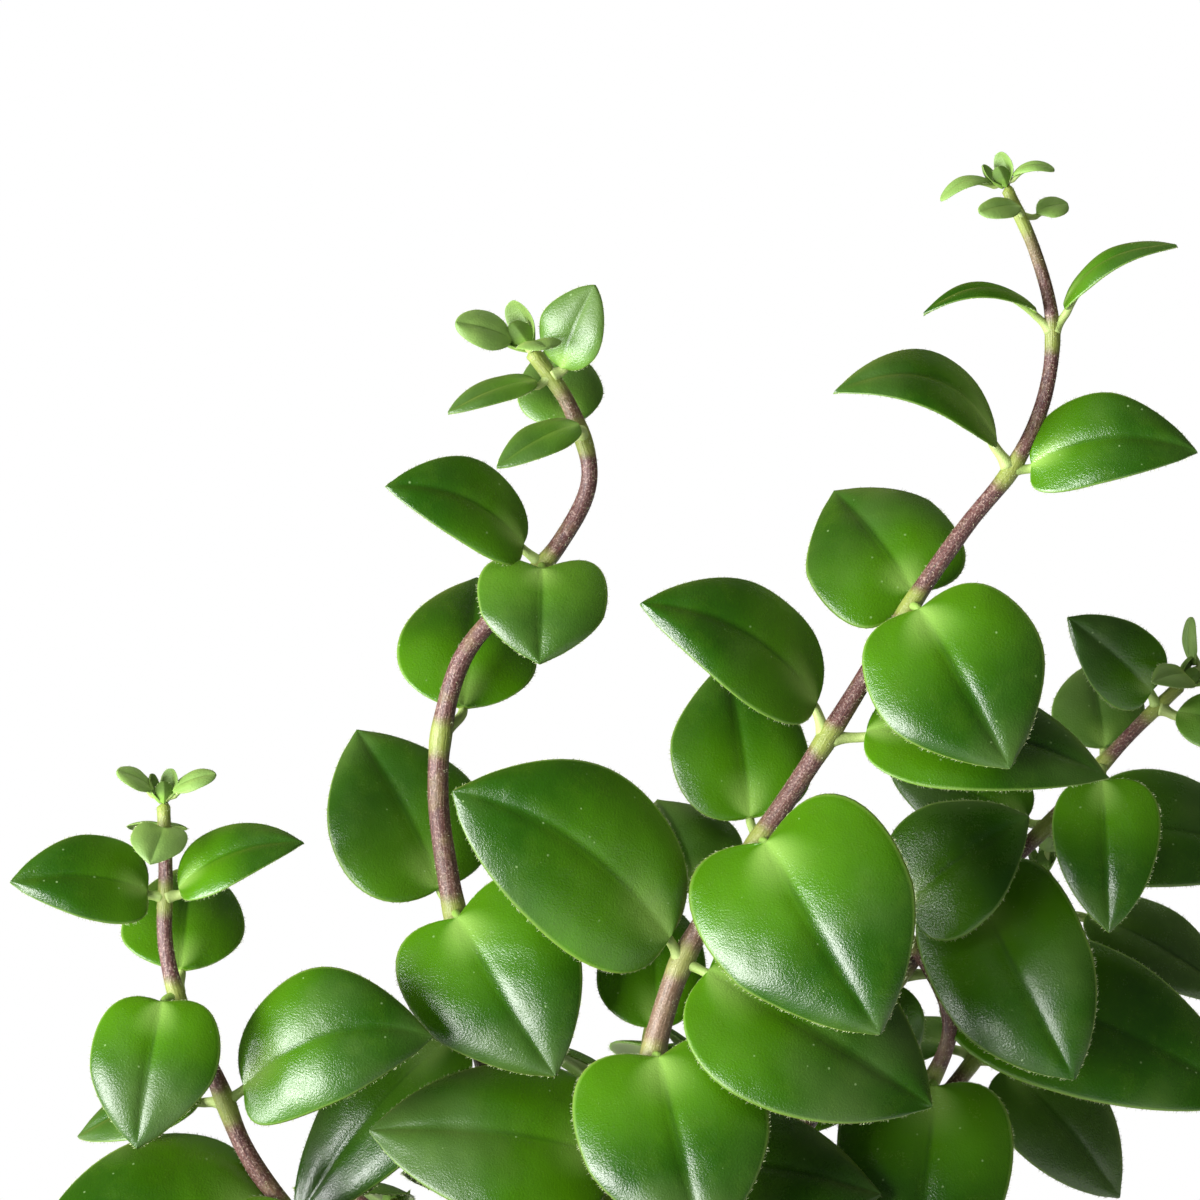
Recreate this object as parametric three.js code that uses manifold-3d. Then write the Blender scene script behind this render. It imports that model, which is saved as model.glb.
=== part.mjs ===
// A potted lipstick plant: a plain tapered pot, its potting mix, ten leafy stems and their leaves.
// Every leaf pair is one solid: two leaves on a swollen collar that fits round its stem.
import * as THREE from "three";
import { mergeVertices } from "three/addons/utils/BufferGeometryUtils.js";
import Module from "manifold-3d";

// ---- Driving dimensions, in millimetres ----

const potHeight = 90;
const potRimDiameter = 110;
const potBaseDiameter = 78;
const potWall = 2.2;
const potFloor = 2.6;
const rimDepth = 14;
const rimProud = 2.4;
const footHeight = 3;
const footWidth = 4;
const basePadDiameter = 18; // the flat pad at the middle of the base, level with the foot ring
const drainHoles = 5;
const drainHoleDiameter = 9;
const drainCircleDiameter = 44;

const mixBelowRim = 11;
const mixCrown = 3;

const plantHeight = 198; // from the rim to the highest stem end
const leafThickness = 1.3;
const petioleRadius = 0.95;
const collarLength = 5.4;
const tipCollarLength = 3.24;
const collarWall = 0.7;
const budRadius = 1.3;
const budLength = 5.2;
const nodeReach = 6; // from a stem's centre line to the blades of the leaves set by rule
const gap = 0.3; // between pieces that touch

// ---- Fineness of the solids ----

const stemSides = 6;
const stemStep = 12;
const potSides = 36;
const boreSides = 12;
const bladeSteps = 6;
const smallBladeSteps = 4;
const smallLeaf = 14;

// ---- The plant's layout: heights are measured from the pot's rim, x to the right, y to the back ----

const layoutHeight = 198; // the height that the layout below is drawn for
const grow = plantHeight / layoutHeight;

// A leaf blade from the end of its stalk to its tip. The face is where its upper side looks. As shares
// of its length, the arch lifts its middle towards the face, the bow lifts its middle straight up and
// the lobe is how far its base reaches back. The cup lifts its edges, as a share of its half width.
function leaf(base, tip, width, face, { arch = 0.1, bow = 0, cup = 0.12, lobe = 0.1 } = {}) {
  return { base, tip, width, face, arch, bow, cup, lobe };
}

// Two leaves set by rule on opposite sides of a stem, turned by an angle in degrees seen from above.
function opposite(turn, length, width, fall) {
  return { turn, length, width, fall };
}

const stems = [
  {
    name: "left",
    footRadius: 2,
    topRadius: 1,
    path: [
      [-20, -4, -33], [-22, -5, -8], [-34, -7, 16], [-50, -8, 39], [-57, -9, 56],
      [-62, -10, 66], [-63.5, -10, 79], [-63, -10, 89], [-63.5, -10, 97],
    ],
    tip: [
      leaf([-65.3, -10.8, 98.6], [-70.8, -12, 101.8], 4.2, [0.3, -0.5, 0.8]),
      leaf([-61.7, -10.8, 98.4], [-55, -12, 101.2], 4.2, [-0.3, -0.5, 0.8]),
    ],
    pairs: [
      {
        at: 91,
        leaves: [
          leaf([-63.4, -14, 93.8], [-65.2, -18.5, 87.6], 9, [0, -0.9, 0.5], { lobe: 0.2 }),
          leaf([-63.8, -6, 92.5], [-66, 0, 90.5], 8, [0, 0.3, 1]),
        ],
      },
      {
        at: 79.5,
        leaves: [
          leaf([-67, -11.5, 82.6], [-87.6, -16, 84.5], 15, [0.1, -0.9, 0.45], { cup: 0.2, bow: 0.05 }),
          leaf([-60.6, -11.5, 82.8], [-41, -14, 90.5], 12.5, [-0.2, -0.7, 0.65], { cup: 0.2, bow: 0.06 }),
        ],
      },
      {
        at: 65,
        leaves: [
          leaf([-61, -4.5, 69.5], [-60, 12, 84], 20, [0, -0.8, 0.6]),
          leaf([-65, -15, 64.4], [-67.4, -21, 42.5], 20.5, [-0.1, -0.95, 0.3], { lobe: 0.12 }),
        ],
      },
      {
        at: 48,
        leaves: [
          leaf([-58.5, -6.5, 48.5], [-78, 1, 41], 14, [-0.1, -0.6, 0.8]),
          leaf([-50, -9.5, 51.6], [-20.6, -14, 59.4], 23, [0.05, -0.9, 0.4], { arch: 0.12, bow: 0.13 }),
        ],
      },
      {
        at: 28,
        leaves: [
          leaf([-47, -10, 30.4], [-84, -16, 27], 29, [-0.1, -0.75, 0.65], { arch: 0.14 }),
          leaf([-42, -15, 33], [-47, -30, 12], 22, [-0.1, -0.85, 0.5], { lobe: 0.16 }),
        ],
      },
    ],
  },
  {
    name: "middle",
    footRadius: 2.2,
    topRadius: 1.15,
    path: [
      [-8, 12, -33], [-8, 12, -8], [-9, 11, 20], [-12, 7, 50], [-17.2, 4, 76.5], [-19.8, 3, 93],
      [-19.6, 2, 105.6], [-14.8, 2, 120.8], [-3.6, 1, 133], [4, 1, 145], [3.1, 1, 154.5],
      [-1, 1, 162.5], [-5.4, 1, 168.5],
    ],
    tip: [
      leaf([-8.4, 0, 169.6], [-17, -3, 172.6], 6, [0.1, -0.8, 0.6]),
      leaf([-5.2, -2.5, 169], [-2.4, -9, 168.8], 6, [0, -0.35, 0.9]),
    ],
    pairs: [
      {
        at: 162.5,
        leaves: [
          leaf([-4.4, -0.6, 162.8], [-18.2, -5, 158.2], 6.5, [-0.2, -0.6, 0.8]),
          leaf([0.2, -0.4, 165.4], [5.2, -3, 178.6], 10.5, [-0.3, -0.9, 0.3], { cup: 0.2 }),
        ],
      },
      {
        at: 153.5,
        leaves: [
          leaf([2.6, -3.5, 156.4], [-10.4, -9, 149.8], 7.5, [-0.2, -0.7, 0.7]),
          leaf([1.6, 5.5, 156], [-3, 14, 167], 13.5, [0, -0.85, 0.5]),
        ],
      },
      {
        at: 133,
        leaves: [
          leaf([-7.2, -0.6, 137.8], [-28.2, -5, 146.6], 14.5, [0.1, -0.85, 0.5], { bow: 0.1 }),
          leaf([-3.2, -6.5, 133], [-3.6, -12, 118.8], 20.5, [0, -0.9, 0.45], { lobe: 0.22 }),
        ],
      },
      {
        at: 105.6,
        leaves: [
          leaf([-15.6, 6.5, 110.6], [-14, 24, 129.4], 22.5, [0.05, -0.8, 0.6]),
        ],
      },
      {
        at: 77,
        leaves: [
          leaf([-20.4, 9, 81.6], [-33.6, 20, 105], 26, [0.15, -0.9, 0.4]),
          leaf([-16.4, -4.5, 76.6], [-1, -12, 52.8], 28, [-0.25, -0.9, 0.35], { lobe: 0.16 }),
        ],
      },
      {
        at: 56,
        leaves: [
          leaf([-19, 4, 57.4], [-43, 5, 26.5], 21, [-0.35, -0.8, 0.45]),
          leaf([-7, 13, 54.6], [8, 30, 43], 21, [0, -0.2, 1]),
        ],
      },
      { at: 30, rule: opposite(115, 24, 20, 0.2) },
    ],
  },
  {
    name: "tall",
    footRadius: 2.2,
    topRadius: 0.9,
    path: [
      [7, -6, -33], [7, -6, -8], [9, -8, 20], [14.3, -10, 55], [18.8, -10, 70.5], [31.1, -10, 90],
      [41.5, -10, 105.8], [55.3, -10, 128], [64.4, -10, 141], [73.2, -10, 152.8], [77.3, -10, 165],
      [77.3, -10, 176], [74, -10, 186.5], [70, -10, 195],
    ],
    tip: [
      leaf([67.8, -10.6, 195.2], [59.8, -12, 192.4], 3.4, [-0.2, -0.4, 0.9], { arch: 0.2 }),
      leaf([71.4, -10.6, 196.4], [77.8, -12, 197.2], 3, [0, -0.4, 0.9], { arch: 0.2 }),
    ],
    pairs: [
      {
        at: 188.5,
        leaves: [
          leaf([72.4, -12, 191.4], [65.8, -15, 190.6], 4.4, [0, -0.6, 0.8]),
          leaf([75.4, -8, 190.4], [80.2, -7, 191.6], 4.4, [0, -0.6, 0.8]),
        ],
      },
      {
        at: 169,
        leaves: [
          leaf([74.6, -11, 175.4], [57, -16, 174.6], 7, [-0.05, -0.3, 0.95], { arch: 0.22 }),
          leaf([79.8, -11, 176], [97, -16, 185.4], 7.5, [-0.3, -0.4, 0.85], { arch: 0.18 }),
        ],
      },
      {
        at: 147.5,
        leaves: [
          leaf([68.4, -11.4, 155], [42.8, -18, 162.4], 15.5, [0.15, -0.6, 0.8], { arch: 0.2, bow: 0.08 }),
          leaf([75.4, -11.6, 150.6], [100.4, -16, 152.8], 15.5, [0, -0.9, 0.4], { cup: 0.2, bow: 0.1 }),
        ],
      },
      {
        at: 128,
        leaves: [
          leaf([56, -4.6, 131.4], [43.6, 8, 144.8], 25, [0.1, -0.9, 0.4], { lobe: 0.2 }),
          leaf([57.4, -16.5, 127.6], [70.6, -24, 103.4], 28.5, [-0.15, -0.9, 0.45], { lobe: 0.12 }),
        ],
      },
      {
        at: 105.8,
        leaves: [
          leaf([40.2, -9.4, 113], [12.4, -15, 128.8], 21, [0.05, -0.8, 0.6], { arch: 0.12, bow: 0.07 }),
          leaf([49, -10.6, 107.8], [86.8, -14, 100.8], 23, [0.1, -0.7, 0.7], { arch: 0.08, bow: 0.04 }),
        ],
      },
      {
        at: 90,
        leaves: [
          leaf([29.6, -4.6, 94.6], [26.5, 9, 117.4], 22, [0, -0.9, 0.4]),
          leaf([33.2, -16.6, 90.6], [50.2, -27, 61.6], 33, [-0.2, -0.93, 0.3], { lobe: 0.17 }),
        ],
      },
      {
        at: 70.5,
        leaves: [
          leaf([16.8, -13, 75.6], [-17.4, -18, 99.2], 29, [-0.1, -0.93, 0.35], { lobe: 0.08, bow: 0.1 }),
          leaf([24.4, -13, 69.4], [58.6, -20, 49], 32, [-0.05, -0.8, 0.6], { arch: 0.12, bow: -0.04 }),
        ],
      },
      {
        at: 55,
        leaves: [
          leaf([15, -3.6, 60], [14, 12, 80], 18, [0, -0.8, 0.6]),
          leaf([16, -18, 56.4], [22.6, -28, 27.4], 30, [-0.1, -0.9, 0.4], { lobe: 0.16 }),
        ],
      },
      {
        at: 38,
        leaves: [
          leaf([8, -6.6, 38.4], [-31, -5, 43], 30, [0.05, -0.8, 0.6], { arch: 0.12 }),
          leaf([18, -8.6, 38.4], [51, -8, 33], 24, [0, -0.75, 0.65]),
        ],
      },
      { at: 14, rule: opposite(100, 24, 22, 0.1) },
    ],
  },
  {
    name: "right",
    footRadius: 1.9,
    topRadius: 1,
    path: [
      [19, 8, -33], [19, 8, -8], [27, 10, 18], [42, 13, 46], [54, 13, 65], [63.6, 12, 76.5],
      [71.6, 12, 83.6], [78, 12, 90], [86.8, 13, 99.6], [96.4, 13, 110], [100.4, 13, 113.6],
    ],
    tip: [
      leaf([100.6, 9.5, 115.6], [94.6, 3.5, 114.4], 6, [-0.3, -0.9, 0.4], { lobe: 0.2 }),
      leaf([102.4, 14.6, 116.4], [101.6, 14, 124], 5, [-0.9, -0.3, 0.2]),
    ],
    pairs: [
      {
        at: 109.4,
        leaves: [
          leaf([94.6, 11, 113], [81.2, 7, 124.6], 13, [-0.2, -0.9, 0.4], { cup: 0.2 }),
          leaf([99.6, 11.4, 108.6], [113, 8, 104], 10, [0.1, -0.8, 0.6]),
        ],
      },
      {
        at: 99.6,
        leaves: [
          leaf([88, 19, 102.6], [86, 28, 115], 14.5, [0, -0.85, 0.5]),
          leaf([87, 6.6, 97.4], [87.6, -2, 74.6], 17.6, [-0.05, -0.95, 0.3], { cup: 0.2 }),
        ],
      },
      {
        at: 90,
        leaves: [
          leaf([74.4, 18.6, 91], [53, 24, 98], 16, [0, -0.85, 0.5]),
          leaf([83.4, 17.6, 87.6], [117, 22, 82], 22, [0, -0.8, 0.6], { bow: 0.06 }),
        ],
      },
      {
        at: 79,
        leaves: [
          leaf([63, 20.4, 80], [58, 37, 88], 18, [0, -0.7, 0.7]),
          leaf([67.4, 2, 79.4], [82, -6, 51.4], 27, [-0.2, -0.9, 0.35], { lobe: 0.18 }),
        ],
      },
      {
        at: 66,
        leaves: [
          leaf([52.6, 18.6, 63.6], [46, 24, 42], 18, [-0.1, -0.9, 0.4]),
          leaf([66, 17, 65.4], [112, 12, 45], 28, [0.1, -0.85, 0.5]),
        ],
      },
    ],
  },
  {
    name: "inner",
    footRadius: 1.8,
    topRadius: 1.1,
    path: [
      [15, -3, -33], [15, -3, -8], [28, 0, 12], [50, 7, 36], [59, 9, 48], [62.6, 9, 58],
      [60.4, 8.6, 66], [55, 8.3, 72.6], [50, 8, 78],
    ],
    tip: [
      leaf([47.4, 7, 80], [41.6, 6.6, 83], 5.5, [0, -0.6, 0.8]),
      leaf([50.6, 11, 80], [53, 15, 82], 4.5, [0, -0.6, 0.8]),
    ],
    pairs: [
      {
        at: 72,
        leaves: [
          leaf([55.4, 5.6, 80], [75, 3, 92.8], 23, [-0.1, -0.85, 0.5], { cup: 0.2 }),
          leaf([51, 8.4, 69.6], [36, 7, 63], 14, [0, -0.7, 0.7]),
        ],
      },
      {
        at: 49,
        leaves: [
          leaf([60.4, 2.6, 48.6], [56, -7, 17], 29, [0, -0.93, 0.3], { lobe: 0.14 }),
          leaf([58, 15, 48], [50, 28, 36], 20, [0, -0.4, 0.9]),
        ],
      },
    ],
  },
  {
    name: "rear_right",
    footRadius: 1.8,
    topRadius: 1,
    path: [
      [22, 16, -33], [22, 16, -8], [38, 22, 18], [60, 27, 41], [66, 28, 48], [72, 29, 56.5],
      [79, 30, 67.5], [81.5, 31, 75], [79, 32, 81],
    ],
    tip: [
      leaf([75.6, 31.4, 82], [70.6, 31, 78.6], 4.6, [-0.4, -0.4, 0.8], { arch: 0.3 }),
      leaf([79.6, 30, 84.4], [80.4, 26.6, 88], 4, [0.2, -0.9, 0.3]),
    ],
    pairs: [
      {
        at: 73.5,
        leaves: [
          leaf([86.4, 31, 73.4], [111, 34, 58.4], 15, [0.15, -0.75, 0.6]),
          leaf([77, 36, 74], [66, 46, 72], 14, [0, -0.5, 0.85]),
        ],
      },
      {
        at: 50,
        leaves: [
          leaf([74, 24, 48.6], [91, 24, 27.6], 19, [0.1, -0.85, 0.5]),
          leaf([63, 33, 52], [44, 42, 48], 18, [0, -0.4, 0.9]),
        ],
      },
    ],
  },
  {
    name: "rear_left",
    footRadius: 1.8,
    topRadius: 1,
    path: [[-16, 18, -33], [-16, 18, -8], [-26, 28, 10], [-40, 38, 20], [-54, 46, 26]],
    tip: [
      leaf([-57, 47.6, 27], [-63, 50, 28.6], 6, [0, -0.3, 0.9]),
      leaf([-54.6, 49.4, 27.4], [-54, 55, 28.4], 5.5, [0, 0, 1]),
    ],
    pairs: [
      { at: 22, rule: opposite(60, 27, 19, 0.25) },
      { at: 11, rule: opposite(40, 22, 20, 0) },
    ],
  },
  {
    name: "rear",
    footRadius: 1.8,
    topRadius: 1,
    path: [[4, 24, -33], [4, 24, -8], [6, 34, 8], [4, 45, 20], [-2, 54, 28]],
    tip: [
      leaf([-5.4, 54.6, 29], [-11, 56, 30], 6, [0, -0.3, 0.9]),
      leaf([1.4, 55, 29.4], [6, 57, 30.6], 5.5, [0, 0, 1]),
    ],
    pairs: [
      { at: 21, rule: opposite(20, 24, 21, 0.2) },
      { at: 4, rule: opposite(5, 24, 20, -0.05) },
    ],
  },
  {
    name: "front_left",
    footRadius: 1.8,
    topRadius: 1,
    path: [[-12, -18, -33], [-12, -18, -8], [-18, -30, 6], [-26, -43, 14], [-32, -56, 19]],
    tip: [
      leaf([-35, -57.4, 19.6], [-40, -60, 20], 6, [0, -0.3, 0.9]),
      leaf([-30.6, -59, 19.8], [-29, -64.6, 20.4], 5.5, [0, 0, 1]),
    ],
    pairs: [
      { at: 14.5, rule: opposite(-15, 26, 21, 0.1) },
      { at: 7.5, rule: opposite(-35, 26, 21, 0) },
    ],
  },
  {
    name: "front_right",
    footRadius: 1.8,
    topRadius: 1,
    path: [[12, -20, -33], [12, -20, -8], [22, -33, 8], [34, -44, 16], [46, -52, 20]],
    tip: [
      leaf([48.6, -55, 20.8], [51.4, -60, 21.6], 6, [0, -0.3, 0.9]),
      leaf([49.4, -50.6, 21], [55, -49, 22], 5.5, [0, 0, 1]),
    ],
    pairs: [
      { at: 13, rule: opposite(45, 28, 22, 0.1) },
    ],
  },
];

// ---- Materials ----

const potPlastic = new THREE.MeshStandardMaterial({ color: 0xb5643c, roughness: 0.6, metalness: 0 });
const pottingMix = new THREE.MeshStandardMaterial({ color: 0x3a2a20, roughness: 1, metalness: 0 });
const stemSkin = new THREE.MeshStandardMaterial({ color: 0x7a5148, roughness: 0.55, metalness: 0 });
const leafGreen = new THREE.MeshStandardMaterial({ color: 0x2f6b12, roughness: 0.35, metalness: 0 });
const youngGreen = new THREE.MeshStandardMaterial({ color: 0x6f9f45, roughness: 0.5, metalness: 0 });

// ---- Solids and booleans ----

const wasm = await Module();
wasm.setup();

function solidOf(geometry) {
  const bare = geometry.clone();
  bare.deleteAttribute("normal");
  bare.deleteAttribute("uv");
  const merged = mergeVertices(bare, 1e-4);
  const vertProperties = new Float32Array(merged.attributes.position.array);
  const triVerts = new Uint32Array(merged.index.array);
  return new wasm.Manifold(new wasm.Mesh({ numProp: 3, vertProperties, triVerts }));
}

function geometryOf(solid) {
  const { vertProperties, triVerts } = solid.getMesh();
  const geometry = new THREE.BufferGeometry();
  geometry.setAttribute("position", new THREE.Float32BufferAttribute(vertProperties, 3));
  geometry.setIndex(Array.from(triVerts));
  const faceted = geometry.toNonIndexed();
  faceted.computeVertexNormals();
  return faceted;
}

function layoutPoint([x, y, z]) {
  return new THREE.Vector3(x, y, z).multiplyScalar(grow);
}

// A closed tube through rings of equal length: a flat start, and a flat end or a pointed one.
function loft(rings, point) {
  const count = rings[0].length;
  const vertices = rings.flat();
  const indices = [];
  for (let side = 2; side < count; side += 1) {
    indices.push(0, side, side - 1);
  }
  for (let ring = 1; ring < rings.length; ring += 1) {
    const near = (ring - 1) * count;
    const far = ring * count;
    for (let side = 0; side < count; side += 1) {
      const next = (side + 1) % count;
      indices.push(near + side, far + next, far + side);
      indices.push(near + side, near + next, far + next);
    }
  }
  const last = (rings.length - 1) * count;
  for (let side = 0; side < count; side += 1) {
    indices.push(last + side, last + ((side + 1) % count), vertices.length);
  }
  vertices.push(point);
  const geometry = new THREE.BufferGeometry().setFromPoints(vertices);
  geometry.setIndex(indices);
  return geometry;
}

// ---- Pot and potting mix ----

function potRadiusAt(height) {
  return THREE.MathUtils.lerp(potBaseDiameter, potRimDiameter, height / potHeight) / 2;
}

function latheUp(outline, sides) {
  const points = outline.map(([radius, height]) => new THREE.Vector2(radius, height));
  return new THREE.LatheGeometry(points, sides).rotateX(Math.PI / 2);
}

function makePot() {
  const ledge = potHeight - rimDepth;
  const floorTop = footHeight + potFloor;
  const footInside = potBaseDiameter / 2 - footWidth;
  const shell = solidOf(latheUp([
    [0, 0],
    [basePadDiameter / 2, 0],
    [basePadDiameter / 2, footHeight],
    [footInside, footHeight],
    [footInside, 0],
    [potRadiusAt(0), 0],
    [potRadiusAt(ledge), ledge],
    [potRadiusAt(ledge) + rimProud, ledge],
    [potRadiusAt(potHeight) + rimProud, potHeight - potWall / 2],
    [potRadiusAt(potHeight) + rimProud - potWall / 2, potHeight],
    [potRadiusAt(potHeight) - potWall / 2, potHeight],
    [potRadiusAt(potHeight) - potWall, potHeight - potWall / 2],
    [potRadiusAt(floorTop) - potWall, floorTop],
    [0, floorTop],
  ], potSides));
  const reach = floorTop + 2 * gap;
  let pot = shell;
  for (let hole = 0; hole < drainHoles; hole += 1) {
    const turn = (2 * Math.PI * hole) / drainHoles;
    const drill = new THREE.CylinderGeometry(drainHoleDiameter / 2, drainHoleDiameter / 2, reach, boreSides);
    drill.rotateX(Math.PI / 2);
    drill.translate(
      (drainCircleDiameter / 2) * Math.cos(turn),
      (drainCircleDiameter / 2) * Math.sin(turn),
      reach / 2,
    );
    pot = pot.subtract(solidOf(drill));
  }
  return geometryOf(pot);
}

function makeMix(growing) {
  const bottom = footHeight + potFloor + gap;
  const edgeTop = potHeight - mixBelowRim;
  const clear = potWall + gap;
  let mix = solidOf(latheUp([
    [0, bottom],
    [potRadiusAt(bottom) - clear, bottom],
    [potRadiusAt(edgeTop) - clear, edgeTop],
    [potRadiusAt(edgeTop) / 2, edgeTop + 0.8 * mixCrown],
    [0, edgeTop + mixCrown],
  ], potSides));
  for (const stem of growing) {
    const bore = stemTube(stem, gap).translate(0, 0, potHeight);
    mix = mix.subtract(solidOf(bore));
  }
  return geometryOf(mix);
}

// ---- Stems ----

const stemTaper = 1.5; // how late along its length a stem thins

function stemCurve(stem) {
  return new THREE.CatmullRomCurve3(stem.path.map(layoutPoint), false, "centripetal");
}

function stemRadius(stem, along) {
  return THREE.MathUtils.lerp(stem.footRadius, stem.topRadius, along ** stemTaper);
}

// The stem's tube, made thicker and longer by extra: with none it is the stem itself, and with the
// gap it is the room that every piece round the stem leaves for it.
function stemTube(stem, extra) {
  const curve = stemCurve(stem);
  const steps = Math.round(curve.getLength() / stemStep);
  const section = new THREE.Shape();
  const fullRadius = (stem.footRadius + extra) / (extra > 0 ? Math.cos(Math.PI / stemSides) : 1);
  for (let side = 0; side < stemSides; side += 1) {
    const turn = (2 * Math.PI * side) / stemSides;
    section[side === 0 ? "moveTo" : "lineTo"](fullRadius * Math.cos(turn), fullRadius * Math.sin(turn));
  }
  const tube = new THREE.ExtrudeGeometry(section, { steps, extrudePath: curve });
  const centres = curve.getSpacedPoints(steps);
  const position = tube.attributes.position;
  const point = new THREE.Vector3();
  for (let index = 0; index < position.count; index += 1) {
    point.fromBufferAttribute(position, index);
    const step = nearest(centres, point);
    const along = step / steps;
    const shrink = (stemRadius(stem, along) + extra) / (stem.footRadius + extra);
    point.sub(centres[step]).multiplyScalar(shrink).add(centres[step]);
    if (step === 0) {
      point.addScaledVector(curve.getTangentAt(0), -extra);
    }
    if (step === steps) {
      point.addScaledVector(curve.getTangentAt(1), extra);
    }
    position.setXYZ(index, point.x, point.y, point.z);
  }
  return tube;
}

function nearest(points, target) {
  let best = 0;
  for (let index = 1; index < points.length; index += 1) {
    if (points[index].distanceTo(target) < points[best].distanceTo(target)) {
      best = index;
    }
  }
  return best;
}

// The share of a stem's length at which it reaches a height. Every stem climbs all the way.
function shareAtHeight(curve, height) {
  let low = 0;
  let high = 1;
  for (let round = 0; round < 30; round += 1) {
    const middle = (low + high) / 2;
    if (curve.getPointAt(middle).z < height) {
      low = middle;
    } else {
      high = middle;
    }
  }
  return (low + high) / 2;
}

// ---- Leaves ----

const ringAcross = [-1, -0.6, 0, 0.6, 1, 0.6, 0, -0.6];
const ringSide = [0, 1, 1, 1, 0, -1, -1, -1];
const ringTurn = [180, 135, 90, 45, 0, -45, -90, -135];
const worldUp = new THREE.Vector3(0, 0, 1);
const bladePointing = 0.42; // how soon the blade narrows to its tip
const fullestShare = 0.8; // the narrowed outline's widest part, as a share of a plain ellipse's
const fullLength = 20; // a shorter blade is thinner
const stalkFrom = 0.12; // a stalk's two ends, as shares of the way from the stem to the blade
const stalkTo = 0.9;
const stalkFlare = 0.15; // how much thicker it is at the stem, and thinner at the blade

function stalkRing(centre, direction, across, radius) {
  const side = across.clone().addScaledVector(direction, -across.dot(direction)).normalize();
  const top = side.clone().cross(direction);
  return ringTurn.map((degrees) => {
    const turn = THREE.MathUtils.degToRad(degrees);
    return centre.clone()
      .addScaledVector(side, radius * Math.cos(turn))
      .addScaledVector(top, radius * Math.sin(turn));
  });
}

function leafGeometry(shape, heart) {
  const base = layoutPoint(shape.base);
  const along = layoutPoint(shape.tip).sub(base);
  const length = along.length();
  along.normalize();
  const face = new THREE.Vector3(...shape.face);
  const up = face.addScaledVector(along, -face.dot(along)).normalize();
  const across = along.clone().cross(up);
  const place = (share, aside, lift) => {
    const rise = lift + shape.arch * length * 4 * share * (1 - share);
    return base.clone()
      .addScaledVector(along, share * length)
      .addScaledVector(across, aside)
      .addScaledVector(up, rise)
      .addScaledVector(worldUp, shape.bow * length * 4 * share * (1 - share));
  };
  const stalk = base.clone().sub(heart);
  const out = stalk.clone().normalize();
  const radius = Math.min(petioleRadius, 0.2 * grow * shape.width);
  const rings = [
    stalkRing(heart.clone().addScaledVector(stalk, stalkFrom), out, across, radius * (1 + stalkFlare)),
    stalkRing(heart.clone().addScaledVector(stalk, stalkTo), out, across, radius * (1 - stalkFlare)),
  ];
  const steps = length > smallLeaf ? bladeSteps : smallBladeSteps;
  for (let step = 1; step < steps; step += 1) {
    const angle = (Math.PI * step) / steps;
    const middle = (1 - Math.cos(angle)) / 2;
    const edge = middle - shape.lobe * Math.max(0, Math.sin(2 * angle));
    const narrowing = (1 - middle) ** bladePointing;
    const half = (grow * shape.width * Math.sin(angle) * narrowing) / (2 * fullestShare);
    const thickness = leafThickness * Math.min(1, length / fullLength + 0.3) * (1 - 0.4 * middle);
    rings.push(ringAcross.map((share, index) => {
      const bend = share ** 2;
      const skin = 0.5 * thickness * ringSide[index] * (1 - 0.6 * bend);
      return place(middle + (edge - middle) * bend, half * share, shape.cup * half * bend + skin);
    }));
  }
  return loft(rings, place(1, 0, 0));
}

function ruledLeaves({ turn, length, width, fall }, node) {
  return [0, 180].map((flip) => {
    const angle = THREE.MathUtils.degToRad(turn + flip);
    const out = new THREE.Vector3(Math.cos(angle), Math.sin(angle), 0);
    const base = node.clone().addScaledVector(out, nodeReach).add(new THREE.Vector3(0, 0, nodeReach / 3));
    const tip = base.clone().addScaledVector(out, length).add(new THREE.Vector3(0, 0, -fall * length));
    const face = [0.3 * out.x, 0.3 * out.y, 1];
    return leaf(base.toArray(), tip.toArray(), width, face, { arch: 0.14, cup: 0.12, lobe: 0.08 });
  });
}

function collarGeometry(centre, direction, radius, length) {
  const wall = collarWall + gap;
  const endRadius = radius + 0.7 * wall;
  const middleRadius = radius + 1.35 * wall;
  const outline = [
    [0, -length / 2],
    [endRadius, -length / 2],
    [middleRadius, 0],
    [endRadius, length / 2],
    [0, length / 2],
  ];
  const collar = latheUp(outline, stemSides);
  collar.applyQuaternion(new THREE.Quaternion().setFromUnitVectors(worldUp, direction));
  return collar.translate(...centre);
}

function budGeometry(centre, direction) {
  const outline = [
    [0, 0],
    [0.8 * budRadius, 0.115 * budLength],
    [budRadius, 0.385 * budLength],
    [0.55 * budRadius, 0.77 * budLength],
    [0, budLength],
  ];
  const bud = latheUp(outline, stemSides);
  bud.applyQuaternion(new THREE.Quaternion().setFromUnitVectors(worldUp, direction));
  return bud.translate(...centre);
}

function pairSolid(stem, pair) {
  const curve = stemCurve(stem);
  const share = shareAtHeight(curve, pair.at * grow);
  const heart = curve.getPointAt(share);
  const radius = stemRadius(stem, share);
  const shapes = pair.leaves ?? ruledLeaves(pair.rule, heart.clone().divideScalar(grow));
  let solid = solidOf(collarGeometry(heart, curve.getTangentAt(share), radius, collarLength));
  for (const shape of shapes) {
    solid = solid.add(solidOf(leafGeometry(shape, heart)));
  }
  return solid.subtract(solidOf(stemTube(stem, gap)));
}

function tipSolid(stem) {
  const curve = stemCurve(stem);
  const end = curve.getPointAt(1);
  const direction = curve.getTangentAt(1);
  let solid = solidOf(collarGeometry(end, direction, stem.topRadius, tipCollarLength));
  solid = solid.add(solidOf(budGeometry(end, direction)));
  for (const shape of stem.tip) {
    solid = solid.add(solidOf(leafGeometry(shape, end)));
  }
  return solid.subtract(solidOf(stemTube(stem, gap)));
}

// ---- Assembly ----

const plant = new THREE.Group();
plant.position.z = potHeight;

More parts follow.
